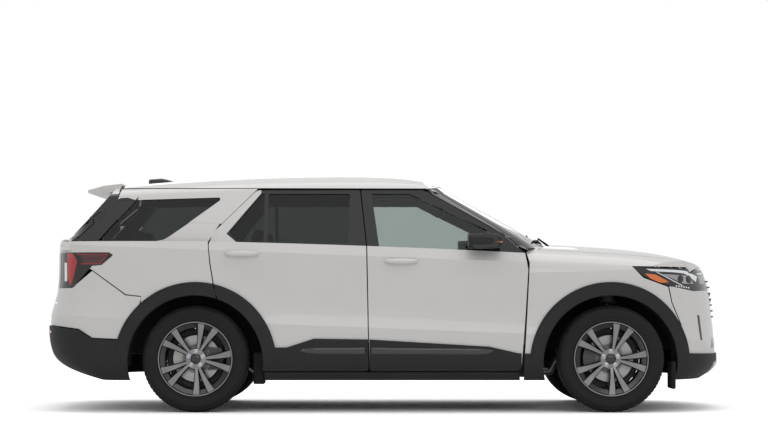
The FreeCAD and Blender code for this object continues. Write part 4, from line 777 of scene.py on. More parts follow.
def cover(name, nodes, view, first, second, stand, material, body="root", slot=None, **shape):
    """One plate as a piece of its own."""
    form = Build().add(*plate(nodes, view, first, second, stand, **shape))
    return form.make(name, material, body, CRISP, slot)


def mirrored(line, sign):
    """A line seen from the front or rear, on one side."""
    return [(u * sign, v) for u, v in line]


# Tail lamps: a bright upright, a dim bar with lit lines, and a reversing lens
LAMP_UPRIGHT = (
    [(-2.331, 1.157), (-2.331, 1.060), (-2.328, 0.990), (-2.308, 0.925)],
    [(-2.286, 1.157), (-2.250, 1.100), (-2.278, 0.990), (-2.300, 0.925)],
)
LAMP_BAR = ([(-2.232, 1.146), (-2.030, 1.144)], [(-2.200, 1.086), (-2.070, 1.086)])
LAMP_LINES = [
    ([(-2.255, 1.153), (-2.016, 1.151)], [(-2.255, 1.148), (-2.020, 1.147)]),
    ([(-2.222, 1.083), (-2.075, 1.083)], [(-2.222, 1.078), (-2.075, 1.078)]),
    ([(-2.020, 1.147), (-2.075, 1.083)], [(-2.026, 1.147), (-2.081, 1.083)]),
]
LAMP_REVERSE = ([(-2.358, 1.090), (-2.356, 0.955)], [(-2.336, 1.090), (-2.334, 0.955)])
GATE_BAR = ([(0.450, 1.150), (0.725, 1.150)], [(0.450, 1.118), (0.725, 1.118)])


def make_tail_lamps(side_name, sign):
    nodes = ("tail_lamps",)
    cover("lamp_upright_" + side_name, nodes, side_name, *LAMP_UPRIGHT, 0.0025, "lamp_red", rows=4)
    cover("lamp_bar_" + side_name, nodes, side_name, *LAMP_BAR, 0.0015, "lamp_dim")
    lines = Build()
    for first, second in LAMP_LINES:
        lines.add(*plate(nodes, side_name, first, second, 0.0022, rows=1))
    lines.make("lamp_lines_" + side_name, "lamp_red", "root", CRISP)
    cover("lamp_reverse_" + side_name, nodes, side_name, *LAMP_REVERSE, 0.002, "lamp_white")
    first, second = (mirrored(line, sign) for line in GATE_BAR)
    cover("gate_bar_" + side_name, ("gate_lamps",), "rear", first, second, 0.002, "lamp_red",
          "liftgate")


# Headlamps: a daylight bar, a divider, two projectors, an amber marker and a row of small lights
HEAD_PLATES = [
    ("daylight", 0.003, "lamp_white", {"columns": 18},
     [(1.900, 1.044), (2.010, 1.041), (2.120, 1.037), (2.215, 1.030), (2.310, 0.990)],
     [(1.935, 1.028), (2.010, 1.024), (2.120, 1.019), (2.205, 1.010), (2.296, 0.950)]),
    ("divider", 0.003, "lamp_white", {"rows": 1},
     [(1.972, 1.022), (2.172, 0.922)], [(1.984, 1.022), (2.186, 0.922)]),
    ("amber", 0.003, "lamp_amber", {"columns": 14, "rows": 4},
     [(1.896, 1.010), (1.972, 1.002), (2.074, 0.948)],
     [(1.896, 1.006), (1.935, 0.972), (2.010, 0.940)]),
    ("chamber", 0.0012, "reflector", {"columns": 14, "rows": 6},
     [(2.020, 1.006), (2.240, 0.996)], [(2.190, 0.936), (2.276, 0.936)]),
]
HEAD_LEDS = 6
HEAD_LED_X = 2.125
HEAD_LED_Z = 0.9205
HEAD_LED_PITCH = 0.020
HEAD_LED_FALL = 0.0028
HEAD_LED_HALF = 0.005
HEAD_LED_WIDTH = 0.011
HEAD_LED_SLANT = 0.003
PROJECTORS = ((2.165, 0.972, 0.022), (2.232, 0.968, 0.024))


def make_headlamp(side_name, sign):
    nodes = ("headlamps",)
    for what, stand, material, shape, first, second in HEAD_PLATES:
        cover("head_" + what + "_" + side_name, nodes, side_name, first, second, stand, material,
              **shape)
    lights = Build()
    for k in range(HEAD_LEDS):
        x = HEAD_LED_X + k * HEAD_LED_PITCH
        z = HEAD_LED_Z - HEAD_LED_FALL * k
        first = [(x, z + HEAD_LED_HALF), (x + HEAD_LED_WIDTH, z + HEAD_LED_HALF)]
        second = [(u + HEAD_LED_SLANT, z - HEAD_LED_HALF) for u, _ in first]
        lights.add(*plate(nodes, side_name, first, second, 0.002, columns=2, rows=2))
    lights.make("head_lights_" + side_name, "lamp_white", "root", CRISP)
    eyes = Build()
    for x, z, radius in PROJECTORS:
        point, normal = side_hit("headlamps", x, z, sign)
        turn = Vector((0, 1, 0)).rotation_difference(normal).to_matrix().to_4x4()
        dome = [(0.0, 0.006), (radius * 0.5, 0.0052), (radius * 0.85, 0.0030), (radius, 0.001),
                (radius * 1.15, 0.0035), (radius * 1.22, 0.0035), (radius * 1.25, -0.001)]
        eyes.add(*turned(dome, 32), matrix=Matrix.Translation(point) @ turn)
    eyes.make("head_eyes_" + side_name, "gloss_black")


for side in SIDES:
    make_tail_lamps(*side)
    make_headlamp(*side)


# The body panel between the quarter window's foot and the rear door. Its depth follows the cabin's
# skin, given at the panel's front and rear as x, half width at the top and half width at the foot
PATCH_WINDOW_EDGE = [(-1.438, 1.386), (-1.590, 1.2775), (-1.625, 1.258), (-1.690, 1.2455)]
PATCH_DOOR_EDGE = [(-1.211, 1.386), (-1.277, 1.2775), (-1.288, 1.258), (-1.295, 1.2455)]
PATCH_FRONT = (-1.215, 0.8365, 0.8965)
PATCH_REAR = (-1.655, 0.8260, 0.8840)
PATCH_BULGE = 0.0015
PATCH_DEPTH = 0.006


def patch_width(x, z):
    share = (x - PATCH_FRONT[0]) / (PATCH_REAR[0] - PATCH_FRONT[0])
    high, low = (PATCH_FRONT[k] + (PATCH_REAR[k] - PATCH_FRONT[k]) * share for k in (1, 2))
    top, foot = PATCH_DOOR_EDGE[0][1], PATCH_DOOR_EDGE[-1][1]
    drop = (top - z) / (top - foot)
    return high + (low - high) * drop + 4 * PATCH_BULGE * drop * (1 - drop)


def make_quarter_patch(side_name, sign):
    def spot(down, ahead):
        x, z = along([along(PATCH_WINDOW_EDGE, down), along(PATCH_DOOR_EDGE, down)], ahead)
        y = patch_width(x, z)
        return Vector((x, sign * y, z)), Vector((x, sign * (y - PATCH_DEPTH), z))

    Build().add(*slab(15, 10, spot)).make("quarter_panel_" + side_name, "body_paint")


# The dished inner wall of a rear wheel arch
HOUSE_RADIUS = 0.5035
HOUSE_INNER = 0.10
HOUSE_Y = 0.646
HOUSE_DISH = 0.018
HOUSE_THICK = 0.003
HOUSE_START = 8
HOUSE_SPAN = 164


def make_house_wall(side_name, sign):
    def spot(round_share, share):
        radius = HOUSE_INNER + (HOUSE_RADIUS - HOUSE_INNER) * share
        turn = math.radians(HOUSE_START + HOUSE_SPAN * round_share)
        x = REAR_AXLE_X + radius * math.cos(turn)
        z = ARCH_CENTRE_Z + radius * math.sin(turn)
        y = sign * (HOUSE_Y - HOUSE_DISH * (1 - share ** 4))
        return Vector((x, y, z)), Vector((x, y - sign * HOUSE_THICK, z))

    # The wall is near-black: black liner plastic, darkened further as painted shade inside the arch
    Build().add(*slab(40, 6, spot)).make("house_wall_" + side_name, "liner_black")


# Pillar covers: crowned strips between two edges, each point given as height, x and half width
FRONT_PILLAR = (
    [
        (1.640, 0.398, 0.596), (1.600, 0.458, 0.600), (1.520, 0.595, 0.622),
        (1.440, 0.730, 0.646), (1.360, 0.865, 0.662), (1.280, 0.997, 0.674),
        (1.215, 1.100, 0.690), (1.190, 1.118, 0.700),
    ],
    [
        (1.640, 0.318, 0.728), (1.600, 0.346, 0.742), (1.520, 0.486, 0.781),
        (1.440, 0.627, 0.820), (1.360, 0.767, 0.855), (1.280, 0.897, 0.888),
        (1.215, 0.968, 0.908), (1.190, 1.022, 0.905),
    ],
)
GATE_PILLAR = (
    [
        (1.430, -2.172, 0.774), (1.380, -2.219, 0.768), (1.340, -2.259, 0.750),
        (1.300, -2.303, 0.724), (1.252, -2.360, 0.716),
    ],
    [
        (1.430, -2.158, 0.784), (1.380, -2.152, 0.803), (1.340, -2.192, 0.818),
        (1.300, -2.234, 0.832), (1.252, -2.296, 0.846),
    ],
)
FRONT_PILLAR_CROWN = Vector((0.020, 0.016, 0.008))
GATE_PILLAR_CROWN = Vector((-0.008, 0.008, 0.002))
PILLAR_THICK = 0.010
PILLAR_STEPS = 4


def make_pillar(name, edges, sign, crown, body):
    def spot(across, down):
        height, x, y = along([along(edge, down) for edge in edges], across)
        outer = Vector((x, y, height)) + crown * 4 * across * (1 - across)
        inner = outer - crown.normalized() * PILLAR_THICK
        return [Vector((p.x, sign * p.y, p.z)) for p in (outer, inner)]

    rows = (len(edges[0]) - 1) * PILLAR_STEPS
    Build().add(*slab(10, rows, spot)).make(name, "gloss_black", body)


for side_name, side_sign in SIDES:
    make_pillar("pillar_cover_" + side_name, FRONT_PILLAR, side_sign, FRONT_PILLAR_CROWN, "root")
    make_pillar("gate_cover_" + side_name, GATE_PILLAR, side_sign, GATE_PILLAR_CROWN, "liftgate")


# The shark fin on the roof
FIN_X = -1.726
FIN_LENGTH = 0.216
FIN_WIDTH = 0.060
FIN_HEIGHT = 0.054
FIN_EDGE = 0.003
FIN_SINK = 0.002
FIN_TAPER = 0.55
FIN_SWEEP = 0.9
FIN_STEPS = 10
FIN_SIDES = 36


def make_fin():
    rings = []
    for k in range(FIN_STEPS + 1):
        share = k / FIN_STEPS
        shorter = FIN_LENGTH / 2 * FIN_TAPER * share ** 1.8
        half_length = FIN_LENGTH / 2 - shorter
        half_width = FIN_WIDTH / 2 * (1 - share) ** 0.8 + FIN_EDGE
        centre = FIN_X - FIN_SWEEP * shorter
        ring = []
        for i in range(FIN_SIDES):
            turn = 2 * math.pi * i / FIN_SIDES
            x = centre + half_length * math.cos(turn)
            y = half_width * math.sin(turn) * (0.80 - 0.20 * math.cos(turn))
            foot = cad_hit("roof", (x, y, FAR), (0, 0, -1))[0]
            ring.append(foot + Vector((0, 0, FIN_HEIGHT * share - FIN_SINK)))
        rings.append(ring)
    Build().add(*loops(rings)).make("roof_fin", "gloss_black")


# Wipers lie on their glass: a tapered arm and a blade with a rubber lip.
# Each has its pivot, its arm's knee and its blade's two ends
FRONT_WIPERS = [
    ("driver", (1.235, 0.46), (1.110, 0.33), (1.170, 0.60), (1.085, -0.02)),
    ("passenger", (1.258, -0.06), (1.150, -0.26), (1.215, 0.10), (1.095, -0.56)),
]
GATE_WIPER = ((0.0, 1.292), (0.10, 1.318), (-0.16, 1.330), (0.40, 1.318))
BLADE_STEPS = 14
BLADE_LIFT = 0.010
BLADE_RADIUS = 0.0045
BLADE_SWELL = 0.003
LIP_RADIUS = 0.003
ARM_LIFTS = (0.022, 0.030, 0.018)
ARM_RADII = [0.012, 0.008, 0.006]
KNOB_LIFTS = (-0.012, 0.030)
KNOB_RADII = [0.016, 0.013]


def make_wiper(name, view, node, pivot, knee, start, end, body):
    origin, direction = VIEWS[view]

    def on_glass(spot, lift):
        point, normal, _ = first_hit((node,), origin(*spot), direction, FAR, Vector((0, 0, 1)))
        if normal.dot(Vector(direction)) > 0:
            normal = -normal
        return point + normal * lift

    shares = [k / BLADE_STEPS for k in range(BLADE_STEPS + 1)]
    radii = [BLADE_RADIUS + BLADE_SWELL * math.sin(math.pi * share) for share in shares]
    middle = along([start, end], 0.5)
    arm = [on_glass(spot, lift) for spot, lift in zip((pivot, knee, middle), ARM_LIFTS)]
    wiper = Build()
    wiper.add(*tube([on_glass(along([start, end], s), BLADE_LIFT) for s in shares], radii, 10))
    wiper.add(*tube([on_glass(along([start, end], s), LIP_RADIUS) for s in shares], LIP_RADIUS, 8))
    wiper.add(*tube(arm, ARM_RADII, 12, 0.7))
    wiper.add(*tube([on_glass(pivot, lift) for lift in KNOB_LIFTS], KNOB_RADII, 16))
    wiper.make(name, "dark_plastic", body)


# Mirrors: a rounded shell over the CAD housing, the glass at its back and a marker lamp in front.
# Rings are given as x, half width and half height
MIRROR_Y = 1.045
MIRROR_Z = 1.244
MIRROR_SHELL = [
    (0.846, 0.040, 0.022), (0.838, 0.064, 0.038), (0.815, 0.080, 0.050), (0.770, 0.087, 0.056),
    (0.690, 0.0885, 0.058), (0.606, 0.087, 0.056), (0.598, 0.083, 0.052), (0.602, 0.078, 0.047),
]
MIRROR_GLASS = [(0.6015, 0.078, 0.047), (0.6000, 0.077, 0.046)]
MIRROR_LAMP = [(0.846, 0.030), (0.833, 0.070), (0.823, 0.076), (0.806, 0.083)]
MIRROR_LAMP_DROP = 0.008
MIRROR_LAMP_RADIUS = 0.0045
MIRROR_SIDES = 48
MIRROR_ROUND = 0.62


def rounded_ring(x, half_width, half_height, sign):
    """A ring across the car with flattened sides and round corners."""
    ring = []
    for k in range(MIRROR_SIDES):
        turn = 2 * math.pi * k / MIRROR_SIDES
        across, up = math.cos(turn), math.sin(turn)
        across = math.copysign(abs(across) ** MIRROR_ROUND, across)
        up = math.copysign(abs(up) ** MIRROR_ROUND, up)
        y = sign * (MIRROR_Y + half_width * across)
        ring.append(Vector((x, y, MIRROR_Z + half_height * up)))
    return ring


def make_mirror(side_name, sign):
    door = "door_front_" + side_name
    for what, rings, material in (("shell", MIRROR_SHELL, "dark_plastic"),
                                  ("glass", MIRROR_GLASS, "mirror_glass")):
        form = Build().add(*loops([rounded_ring(*ring, sign) for ring in rings]))
        form.make("mirror_" + what + "_" + side_name, material, door)
    z = MIRROR_Z - MIRROR_LAMP_DROP
    points = [(x, sign * (MIRROR_Y + out), z) for x, out in MIRROR_LAMP]
    lamp = Build().add(*tube(points, MIRROR_LAMP_RADIUS, 10))
    lamp.make("mirror_lamp_" + side_name, "lamp_amber", door)


# The grille: bars that follow the nose, with short ribs between them
GRILLE_BARS = 7
GRILLE_LOW = 0.690
GRILLE_HIGH = 0.955
GRILLE_HALF = 0.375
GRILLE_FLARE = 0.075
GRILLE_STEPS = 24
BAR_STAND = 0.012
BAR_RADIUS = 0.011
RIB_PITCH = 0.045
RIB_PAIRS = 8
RIB_FOOT = Vector((0.002, 0, -0.016))
RIB_RUN = Vector((0.010, 0, 0.032))
RIB_RADIUS = 0.0035


def on_nose(y, share):
    """The nose's surface across the grille, at a share of its height."""
    z = GRILLE_LOW + (GRILLE_HIGH - GRILLE_LOW) * share
    ahead = Vector((1, 0, 0))
    return first_hit(("grille", "bumpers"), (FAR, y, z), (-1, 0, 0), 0.8, ahead)[0]


def make_grille():
    bars, ribs = Build(), Build()
    for k in range(GRILLE_BARS):
        share = k / (GRILLE_BARS - 1)
        half = GRILLE_HALF + GRILLE_FLARE * share
        across = [half * (2 * i / GRILLE_STEPS - 1) for i in range(GRILLE_STEPS + 1)]
        points = [on_nose(y, share) + Vector((BAR_STAND, 0, 0)) for y in across]
        bars.add(*tube(points, BAR_RADIUS, 10, 0.55))
    for k in range(GRILLE_BARS - 1):
        for i in range(-RIB_PAIRS, RIB_PAIRS + 1):
            foot = on_nose(RIB_PITCH * i, (k + 0.5) / (GRILLE_BARS - 1)) + RIB_FOOT
            ribs.add(*tube([foot, foot + RIB_RUN], RIB_RADIUS, 8))
    bars.make("grille_bars", "satin_black")
    ribs.make("grille_ribs", "satin_black")


# Mouldings on the doors' cladding, and lips round the wheel arches
MOULDINGS = {
    "front": (
        [(-0.100, 0.4700), (0.650, 0.4640), (0.730, 0.4600), (0.782, 0.4500)],
        [(-0.100, 0.4250), (0.650, 0.4200), (0.730, 0.4230), (0.782, 0.4360)],
    ),
    "rear": (
        [(-0.612, 0.4570), (-0.560, 0.4660), (-0.490, 0.4690), (-0.150, 0.4705)],
        [(-0.612, 0.4400), (-0.560, 0.4300), (-0.490, 0.4255), (-0.150, 0.4250)],
    ),
}
ARCH_RADIUS = 0.496
ARCH_RIM = 0.590
LIP_WIDTH = 0.013
LIP_STAND = 0.0045
LIP_STEPS = 48
ARCH_RUNS = [("front", FRONT_AXLE_X, 14, 176), ("rear", REAR_AXLE_X, 88, 172)]


def make_moulding(place_name, side_name):
    door = place_name + "_" + side_name
    cover("cladding_moulding_" + door, ("door_trim_" + door,), side_name, *MOULDINGS[place_name],
          0.0055, "satin_black", "door_" + door, "dark_plastic", columns=30, rows=5, soft=0.15)


def arch_line(axle_x, radius, low, high):
    turns = [math.radians(low + (high - low) * k / LIP_STEPS) for k in range(LIP_STEPS + 1)]
    return [(axle_x + radius * math.cos(t), ARCH_CENTRE_Z + radius * math.sin(t)) for t in turns]


def make_arch_lips(side_name):
    for place_name, axle_x, low, high in ARCH_RUNS:
        lips = Build()
        for radius in (ARCH_RADIUS, ARCH_RIM - LIP_WIDTH):
            lips.add(*plate(("dark_trim",), side_name, arch_line(axle_x, radius, low, high),
                            arch_line(axle_x, radius + LIP_WIDTH, low, high), LIP_STAND,
                            columns=LIP_STEPS, rows=2, soft=0.2))
        lips.make("arch_lips_" + place_name + "_" + side_name, "dark_plastic")


# Skid plates, side vents and the black deflectors ahead of the tyres
SKIDS = {
    "front": (
        [(-0.52, 0.352), (-0.30, 0.372), (0.30, 0.372), (0.52, 0.352)],
        [(-0.46, 0.262), (-0.28, 0.246), (0.28, 0.246), (0.46, 0.262)],
    ),
    "rear": (
        [(-0.50, 0.486), (-0.30, 0.492), (0.30, 0.492), (0.50, 0.486)],
        [(-0.42, 0.330), (-0.28, 0.316), (0.28, 0.316), (0.42, 0.330)],
    ),
}
SIDE_VENT = ([(2.302, 0.705), (2.322, 0.705)], [(2.326, 0.520), (2.344, 0.520)])
DEFLECTORS = [
    ("front", (2.101, 0.800, 0.268), (0.034, 0.230, 0.200)),
    ("rear", (-0.922, 0.832, 0.318), (0.084, 0.130, 0.230)),
]
DEFLECTOR_ROUND = 0.012


def make_side_vent(side_name):
    cover("side_vent_" + side_name, ("bumpers",), side_name, *SIDE_VENT, 0.0015, "gloss_black",
          columns=3, rows=8)


def make_box(name, material, body, centre, size, radius, tilt=0, slot=None):
    """A rounded box that leans back by a tilt in degrees."""
    move = Matrix.Translation(centre) @ Matrix.Rotation(math.radians(tilt), 4, "Y")
    Build().add(*rounded_box(size, radius), matrix=move).make(name, material, body, slot=slot)


def make_deflectors(side_name, sign):
    for place_name, (x, y, z), size in DEFLECTORS:
        # The deflectors take the near-black liner finish: black plastic, darkened further as painted
        # shade under the car
        make_box("deflector_" + place_name + "_" + side_name, "liner_black", "root",
                 (x, sign * y, z), size, DEFLECTOR_ROUND)


# Plates seen from the front or from behind: name, node, view, finish, slot, body, stand and edges
FACE_PLATES = [
    ("brake_lamp_high", "liftgate", "rear", "lamp_red", None, "liftgate", 0.002,
     [(-0.17, 1.6440), (0.17, 1.6440)], [(-0.17, 1.6320), (0.17, 1.6320)]),
    ("plate_recess", "liftgate", "rear", "satin_black", "dark_plastic", "liftgate", 0.004,
     [(-0.31, 1.0500), (0.31, 1.0500)], [(-0.27, 0.8900), (0.27, 0.8900)]),
    ("gate_handle_bar", "liftgate", "rear", "gloss_black", None, "liftgate", 0.012,
     [(-0.34, 1.0850), (0.34, 1.0850)], [(-0.33, 1.0600), (0.33, 1.0600)]),
    ("front_intake", "bumpers", "front", "gloss_black", None, "root", 0.002,
     [(-0.50, 0.5350), (0.50, 0.5350)], [(-0.56, 0.4600), (0.56, 0.4600)]),
]
SIDE_PLATES = [
    ("rear_reflector", "dark_trim", "rear", "lamp_red", None, "root", 0.003,
     [(0.60, 0.5950), (0.74, 0.5900)], [(0.60, 0.5780), (0.74, 0.5730)]),
    ("gate_lamp_panel", "gate_lamps", "rear", "lamp_dim", None, "liftgate", 0.0015,
     [(0.455, 1.1050), (0.725, 1.1050)], [(0.455, 0.9600), (0.725, 0.9600)]),
    ("head_chamber_front", "headlamps", "front", "reflector", None, "root", 0.0012,
     [(0.500, 1.0000), (0.655, 0.9950)], [(0.500, 0.9400), (0.655, 0.9350)]),
    ("head_strip_front", "headlamps", "front", "lamp_white", None, "root", 0.002,
     [(0.490, 1.0200), (0.655, 1.0130)], [(0.490, 1.0100), (0.655, 1.0030)]),
]


def make_face_plates():
    for name, node, view, material, slot, body, stand, first, second in FACE_PLATES:
        cover(name, (node,), view, first, second, stand, material, body, slot, columns=24)
    for name, node, view, material, slot, body, stand, first, second in SIDE_PLATES:
        for side_name, sign in SIDES:
            cover(name + "_" + side_name, (node,), view, mirrored(first, sign),
                  mirrored(second, sign), stand, material, body, slot)


# The cabin's fittings: name, finish, centre, size, radius and tilt in degrees
CABIN_BOXES = [
    ("dash_screen", "gloss_black", (0.640, 0.0, 1.010), (0.014, 0.300, 0.170), 0.006, 12),
    ("dash_hood", "dash_plastic", (0.690, 0.400, 1.112), (0.170, 0.380, 0.042), 0.018, 6),
    ("dash_dials", "gloss_black", (0.642, 0.400, 1.068), (0.012, 0.320, 0.070), 0.005, 12),
    ("dash_switches", "satin_black", (0.676, 0.0, 0.880), (0.014, 0.260, 0.050), 0.005, 12),
    ("room_mirror", "dark_plastic", (0.560, 0.0, 1.520), (0.028, 0.250, 0.068), 0.012, 8),
    ("selector", "gloss_black", (0.420, 0.0, 0.735), (0.060, 0.060, 0.050), 0.016, 0),
]
SIDE_BOXES = [
    ("dash_vent_outer", "satin_black", (0.650, 0.690, 1.015), (0.014, 0.120, 0.062), 0.005, 12),
    ("dash_vent_inner", "satin_black", (0.650, 0.205, 1.015), (0.014, 0.060, 0.110), 0.005, 12),
    ("sun_visor", "headliner", (0.300, 0.330, 1.628), (0.150, 0.360, 0.014), 0.006, 14),
]
# Each door's fittings: name, finish, place from the card's, size and radius
DOOR_BOXES = [
    ("armrest", "seat_cover", (0.000, 0.0, 0.000), (0.480, 0.060, 0.060), 0.024),
    ("card", "dash_plastic", (0.000, 0.020, 0.140), (0.620, 0.026, 0.180), 0.012),
    ("pocket", "dash_plastic", (0.020, 0.012, -0.260), (0.560, 0.036, 0.120), 0.014),
    ("pull", "bright_metal", (0.130, -0.022, 0.050), (0.130, 0.020, 0.024), 0.009),
]
DOOR_CARDS = [("front", 0.420, 0.872, 0.860), ("rear", -0.600, 0.872, 0.880)]
MIRROR_STALK = [(0.565, 0.0, 1.525), (0.590, 0.0, 1.560), (0.606, 0.0, 1.566)]
STALK_RADIUS = 0.009


def make_cabin_fittings():
    for name, material, centre, size, radius, tilt in CABIN_BOXES:
        make_box(name, material, "root", centre, size, radius, tilt)
    for side_name, sign in SIDES:
        for name, material, (x, y, z), size, radius, tilt in SIDE_BOXES:
            make_box(name + "_" + side_name, material, "root", (x, y * sign, z), size, radius, tilt)
        for place_name, x, y, z in DOOR_CARDS:
            door = place_name + "_" + side_name
            for name, material, move, size, radius in DOOR_BOXES:
                centre = (x + move[0], (y + move[1]) * sign, z + move[2])
                make_box("door_" + name + "_" + door, material, "door_" + door, centre, size, radius)
    Build().add(*tube(MIRROR_STALK, STALK_RADIUS)).make("room_mirror_stalk", "dark_plastic")


make_face_plates()
make_cabin_fittings()
make_fin()
make_grille()
for wiper_name, *wiper_spots in FRONT_WIPERS:
    make_wiper("wiper_" + wiper_name, "top", "fixed_glass", *wiper_spots, "root")
make_wiper("wiper_gate", "rear", "liftgate_glass", *GATE_WIPER, "liftgate")
for place_name, skid_lines in SKIDS.items():
    cover("skid_" + place_name, ("dark_trim",), place_name, *skid_lines, 0.006, "skid_silver",
          columns=36, rows=6, soft=0.1)
for side_name, side_sign in SIDES:
    make_quarter_patch(side_name, side_sign)
    make_house_wall(side_name, side_sign)
    make_mirror(side_name, side_sign)
    make_arch_lips(side_name)
    make_side_vent(side_name)
    make_deflectors(side_name, side_sign)
    for place_name in MOULDINGS:
        make_moulding(place_name, side_name)


# Door handles: a pull bar whose ends come down to the door's skin
HANDLES = [("front", 0.115, 1.098), ("rear", -1.045, 1.152)]
HANDLE_SPAN = 0.225
HANDLE_STAND = 0.042
HANDLE_END_STAND = 0.006
HANDLE_RADIUS = 0.010
HANDLE_SWELL = 0.004
HANDLE_TALL = 1.35
HANDLE_STEPS = 18


def make_handle(place_name, x, z, side_name, sign):
    door = "door_" + place_name + "_" + side_name
    points, radii = [], []
    for k in range(HANDLE_STEPS + 1):
        share = k / HANDLE_STEPS
        reach = x + HANDLE_SPAN * (share - 0.5)
        surface, _ = side_hit(door, reach, z, sign)
        rise = 1 - (2 * share - 1) ** 6
        out = HANDLE_END_STAND + (HANDLE_STAND - HANDLE_END_STAND) * max(0.0, rise) ** 0.8
        points.append(Vector((reach, surface.y + sign * out, z)))
        radii.append(HANDLE_RADIUS + HANDLE_SWELL * math.sin(math.pi * share))
    bar = Build().add(*tube(points, radii, 16, HANDLE_TALL))
    bar.make("handle_" + place_name + "_" + side_name, "body_paint", door, 50.0)


for handle in HANDLES:
    for side in SIDES:
        make_handle(*handle, *side)


# Seats: crowned pads with side bolsters and sewn channels
PAD_RINGS = 28
PAD_STEPS = 56
PLAN_ROUND = 0.38
SIDE_ROUND = 0.32
TOP_ROUND = 0.55
BOLSTER_SHARE = 0.55
BOLSTER_RUN = 0.25
CHANNEL_DEPTH = 0.007
CHANNEL_HALF = 0.035
SEAM_SHARES = (-0.56, 0.56)
SEAM_DEPTH = 0.006
SEAM_HALF = 0.03


def rounded(value, power):
    """A sine or cosine drawn towards its ends, which turns a circle into a rounded rectangle."""
    return math.copysign(abs(value) ** power, value)


def pad(size, crown, bolster, channels):
    """A stuffed form about the origin: size is depth, width and thickness. Its plan is a rounded
    rectangle, its sides pull in, and its top has bolsters along the sides and sewn channels."""
    depth, width, thick = size
    lines = []
    for k in range(PAD_RINGS + 1):
        lift = math.pi * (k / PAD_RINGS - 0.5)
        pull = abs(math.cos(lift)) ** SIDE_ROUND
        up = rounded(math.sin(lift), TOP_ROUND)
        line = []
        for j in range(PAD_STEPS):
            turn = 2 * math.pi * j / PAD_STEPS
            px = rounded(math.cos(turn), PLAN_ROUND) * pull
            py = rounded(math.sin(turn), PLAN_ROUND) * pull
            height = thick / 2 * up
            if up > 0:
                height *= 1 + crown * (1 - px * px) * (1 - py * py)
                height += bolster * min(1.0, max(0.0, (abs(py) - BOLSTER_SHARE) / BOLSTER_RUN)) * up
                for share in channels:
                    height -= CHANNEL_DEPTH * math.exp(-(((px - share) / CHANNEL_HALF) ** 2)) * up
                for share in SEAM_SHARES:
                    height -= SEAM_DEPTH * math.exp(-(((py - share) / SEAM_HALF) ** 2)) * up
            line.append(Vector((px * depth / 2, py * width / 2, height)))
        lines.append(line)
    return loops(lines)


SEAT_TILT = math.radians(7.0)
BACK_TILT = math.radians(12.0)
CUSHION_DEPTH = 0.505
CUSHION_THICK = 0.135
BACK_THICK = 0.125
HEAD_SIZE = (0.165, 0.245, 0.095)
POST_HALF = 0.055
POST_RADIUS = 0.006


def make_seat(name, x, y, z, width, back_height):
    """A seat with its cushion's front at x, its foot at z and its middle at y."""
    lean = Matrix.Rotation(-(math.pi / 2 - BACK_TILT), 4, "Y")
    flat = Matrix.Rotation(-SEAT_TILT, 4, "Y")
    span = back_height - 0.06
    top = z + back_height
    # Each pad: its name, lean, centre, size, crown, bolster and channels
    pads = [
        ("cushion", flat, (x - 0.255, y, z + 0.085), (CUSHION_DEPTH, width - 0.012, CUSHION_THICK),
         0.18, 0.022, (-0.35, 0.1, 0.5)),
        ("back", lean, (x - 0.520, y, z + 0.06 + span / 2), (span, width - 0.02, BACK_THICK),
         0.14, 0.024, (-0.5, -0.1, 0.3)),
        ("head", lean, (x - 0.588, y, top + 0.100), HEAD_SIZE, 0.25, 0.0, ()),
    ]
    made = []
    for what, tilt, centre, *form in pads:
        soft = Build().add(*pad(*form), matrix=Matrix.Translation(centre) @ tilt)
        made.append(soft.make("seat_" + what + "_" + name, "seat_cover", degrees=60.0))
    posts = Build()
    for side in (-POST_HALF, POST_HALF):
        ends = [(x - 0.576, y + side, top - 0.05), (x - 0.586, y + side, top + 0.06)]
        posts.add(*tube(ends, POST_RADIUS))
    posts.make("seat_posts_" + name, "bright_metal", slot="seat_cover")
    return made[0]


# Each row: the seats' x, foot, width and back height, the node they stand for, and their places
SEAT_ROWS = [
    (0.420, 0.560, 0.520, 0.640, "front_seats", [("driver", 0.40), ("passenger", -0.40)]),
    (-0.360, 0.560, 0.438, 0.600, "rear_seats",
     [("middle_left", 0.438), ("middle_centre", 0.0), ("middle_right", -0.438)]),
    (-1.290, 0.6403, 0.470, 0.520, None, [("third_left", 0.26), ("third_right", -0.26)]),
]
for seat_x, seat_z, seat_width, seat_back, seat_node, seat_places in SEAT_ROWS:
    for seat_name, seat_y in seat_places:
        cushion = make_seat(seat_name, seat_x, seat_y, seat_z, seat_width, seat_back)
        if seat_node and seat_y > 0:
            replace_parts(cushion, seat_node)

# Plinths that carry the seats on the floor: x, y and width of each
PLINTHS = [(0.17, 0.40, 0.34), (0.17, -0.40, 0.34), (-0.62, 0.0, 1.18)]
PLINTH_Z = 0.466
PLINTH_LENGTH = 0.36
PLINTH_HEIGHT = 0.19
PLINTH_ROUND = 0.02
plinths = Build()
for plinth_x, plinth_y, plinth_width in PLINTHS:
    plinths.add(*rounded_box((PLINTH_LENGTH, plinth_width, PLINTH_HEIGHT), PLINTH_ROUND),
                matrix=Matrix.Translation((plinth_x, plinth_y, PLINTH_Z)))
plinths.make("seat_plinths", "dash_plastic")


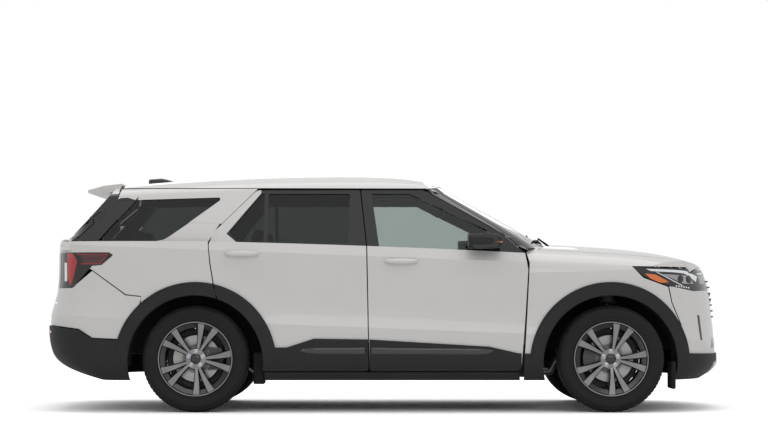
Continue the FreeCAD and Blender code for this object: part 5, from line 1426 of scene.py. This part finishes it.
# Floor, lights and camera
CAMERA_PLACE = (-0.010, -16.5, 0.830)
CAMERA_PITCH = 2.3
CAMERA_LENS = 100.0
SENSOR_WIDTH = 36.0
CLIP_END = 200.0
FLOOR_HALF = 90.0
FLOOR_BOUNCE = (0.8, 0.8, 0.8, 1.0)
FLOOR_SEEN = (1.42, 1.42, 1.42, 1.0)
SKY = (0.72, 0.725, 0.73, 1.0)
SKY_SEEN = (1.0, 1.0, 1.0, 1.0)
LAMP_TARGET_Z = 0.8
LAMPS = [
    ("top", (0.0, 0.0, 7.0), (0, 0, 0), (9.0, 5.0), 190.0),
    ("near", (1.5, -8.0, 4.0), (0, 0, LAMP_TARGET_Z), (8.0, 2.5), 70.0),
    ("far", (-1.5, 8.0, 4.0), (0, 0, LAMP_TARGET_Z), (8.0, 2.5), 70.0),
]


def switched(made, factor, first, second):
    """A colour that goes from first to second with a factor."""
    mix = add_node(made, "ShaderNodeMix", data_type="RGBA")
    set_sockets(mix, {"A": first, "B": second})
    wire(made, factor, mix.inputs["Factor"])
    return mix.outputs["Result"]


def make_floor():
    half = FLOOR_HALF
    mesh = bpy.data.meshes.new("floor")
    corners = [(-half, -half, 0), (half, -half, 0), (half, half, 0), (-half, half, 0)]
    mesh.from_pydata(corners, [], [(0, 1, 2, 3)])
    floor = new_object("floor", mesh)
    made, shader = new_material("floor")
    matte = add_node(made, "ShaderNodeBsdfDiffuse")
    path = add_node(made, "ShaderNodeLightPath")
    colour = switched(made, path.outputs["Is Camera Ray"], FLOOR_BOUNCE, FLOOR_SEEN)
    wire(made, colour, matte.inputs["Color"])
    wire(made, matte.outputs["BSDF"], made.node_tree.nodes["Material Output"].inputs["Surface"])
    made.node_tree.nodes.remove(shader)
    mesh.materials.append(made)


def make_world():
    world = bpy.data.worlds.new("studio")
    world.use_nodes = True
    bpy.context.scene.world = world
    background = world.node_tree.nodes["Background"]
    path = add_node(world, "ShaderNodeLightPath")
    seen = add_node(world, "ShaderNodeMath", operation="MAXIMUM")
    wire(world, path.outputs["Is Camera Ray"], seen.inputs[0])
    wire(world, path.outputs["Is Transmission Ray"], seen.inputs[1])
    wire(world, switched(world, seen.outputs[0], SKY, SKY_SEEN), background.inputs["Color"])


def make_light(name, stand, target, size, power):
    lamp = bpy.data.lights.new(name, "AREA")
    lamp.shape = "RECTANGLE"
    lamp.size, lamp.size_y = size
    lamp.energy = power
    thing = new_object(name, lamp)
    thing.location = stand
    aim = Vector(target) - Vector(stand)
    thing.rotation_euler = aim.to_track_quat("-Z", "Y").to_euler()


def make_camera():
    data = bpy.data.cameras.new("camera")
    data.lens = CAMERA_LENS
    data.sensor_width = SENSOR_WIDTH
    data.clip_end = CLIP_END
    thing = new_object("camera", data)
    thing.location = CAMERA_PLACE
    thing.rotation_euler = (math.radians(90 + CAMERA_PITCH), 0, 0)
    bpy.context.scene.camera = thing


make_floor()
make_world()
for lamp_settings in LAMPS:
    make_light(*lamp_settings)
make_camera()
bpy.context.scene.view_settings.view_transform = "Standard"
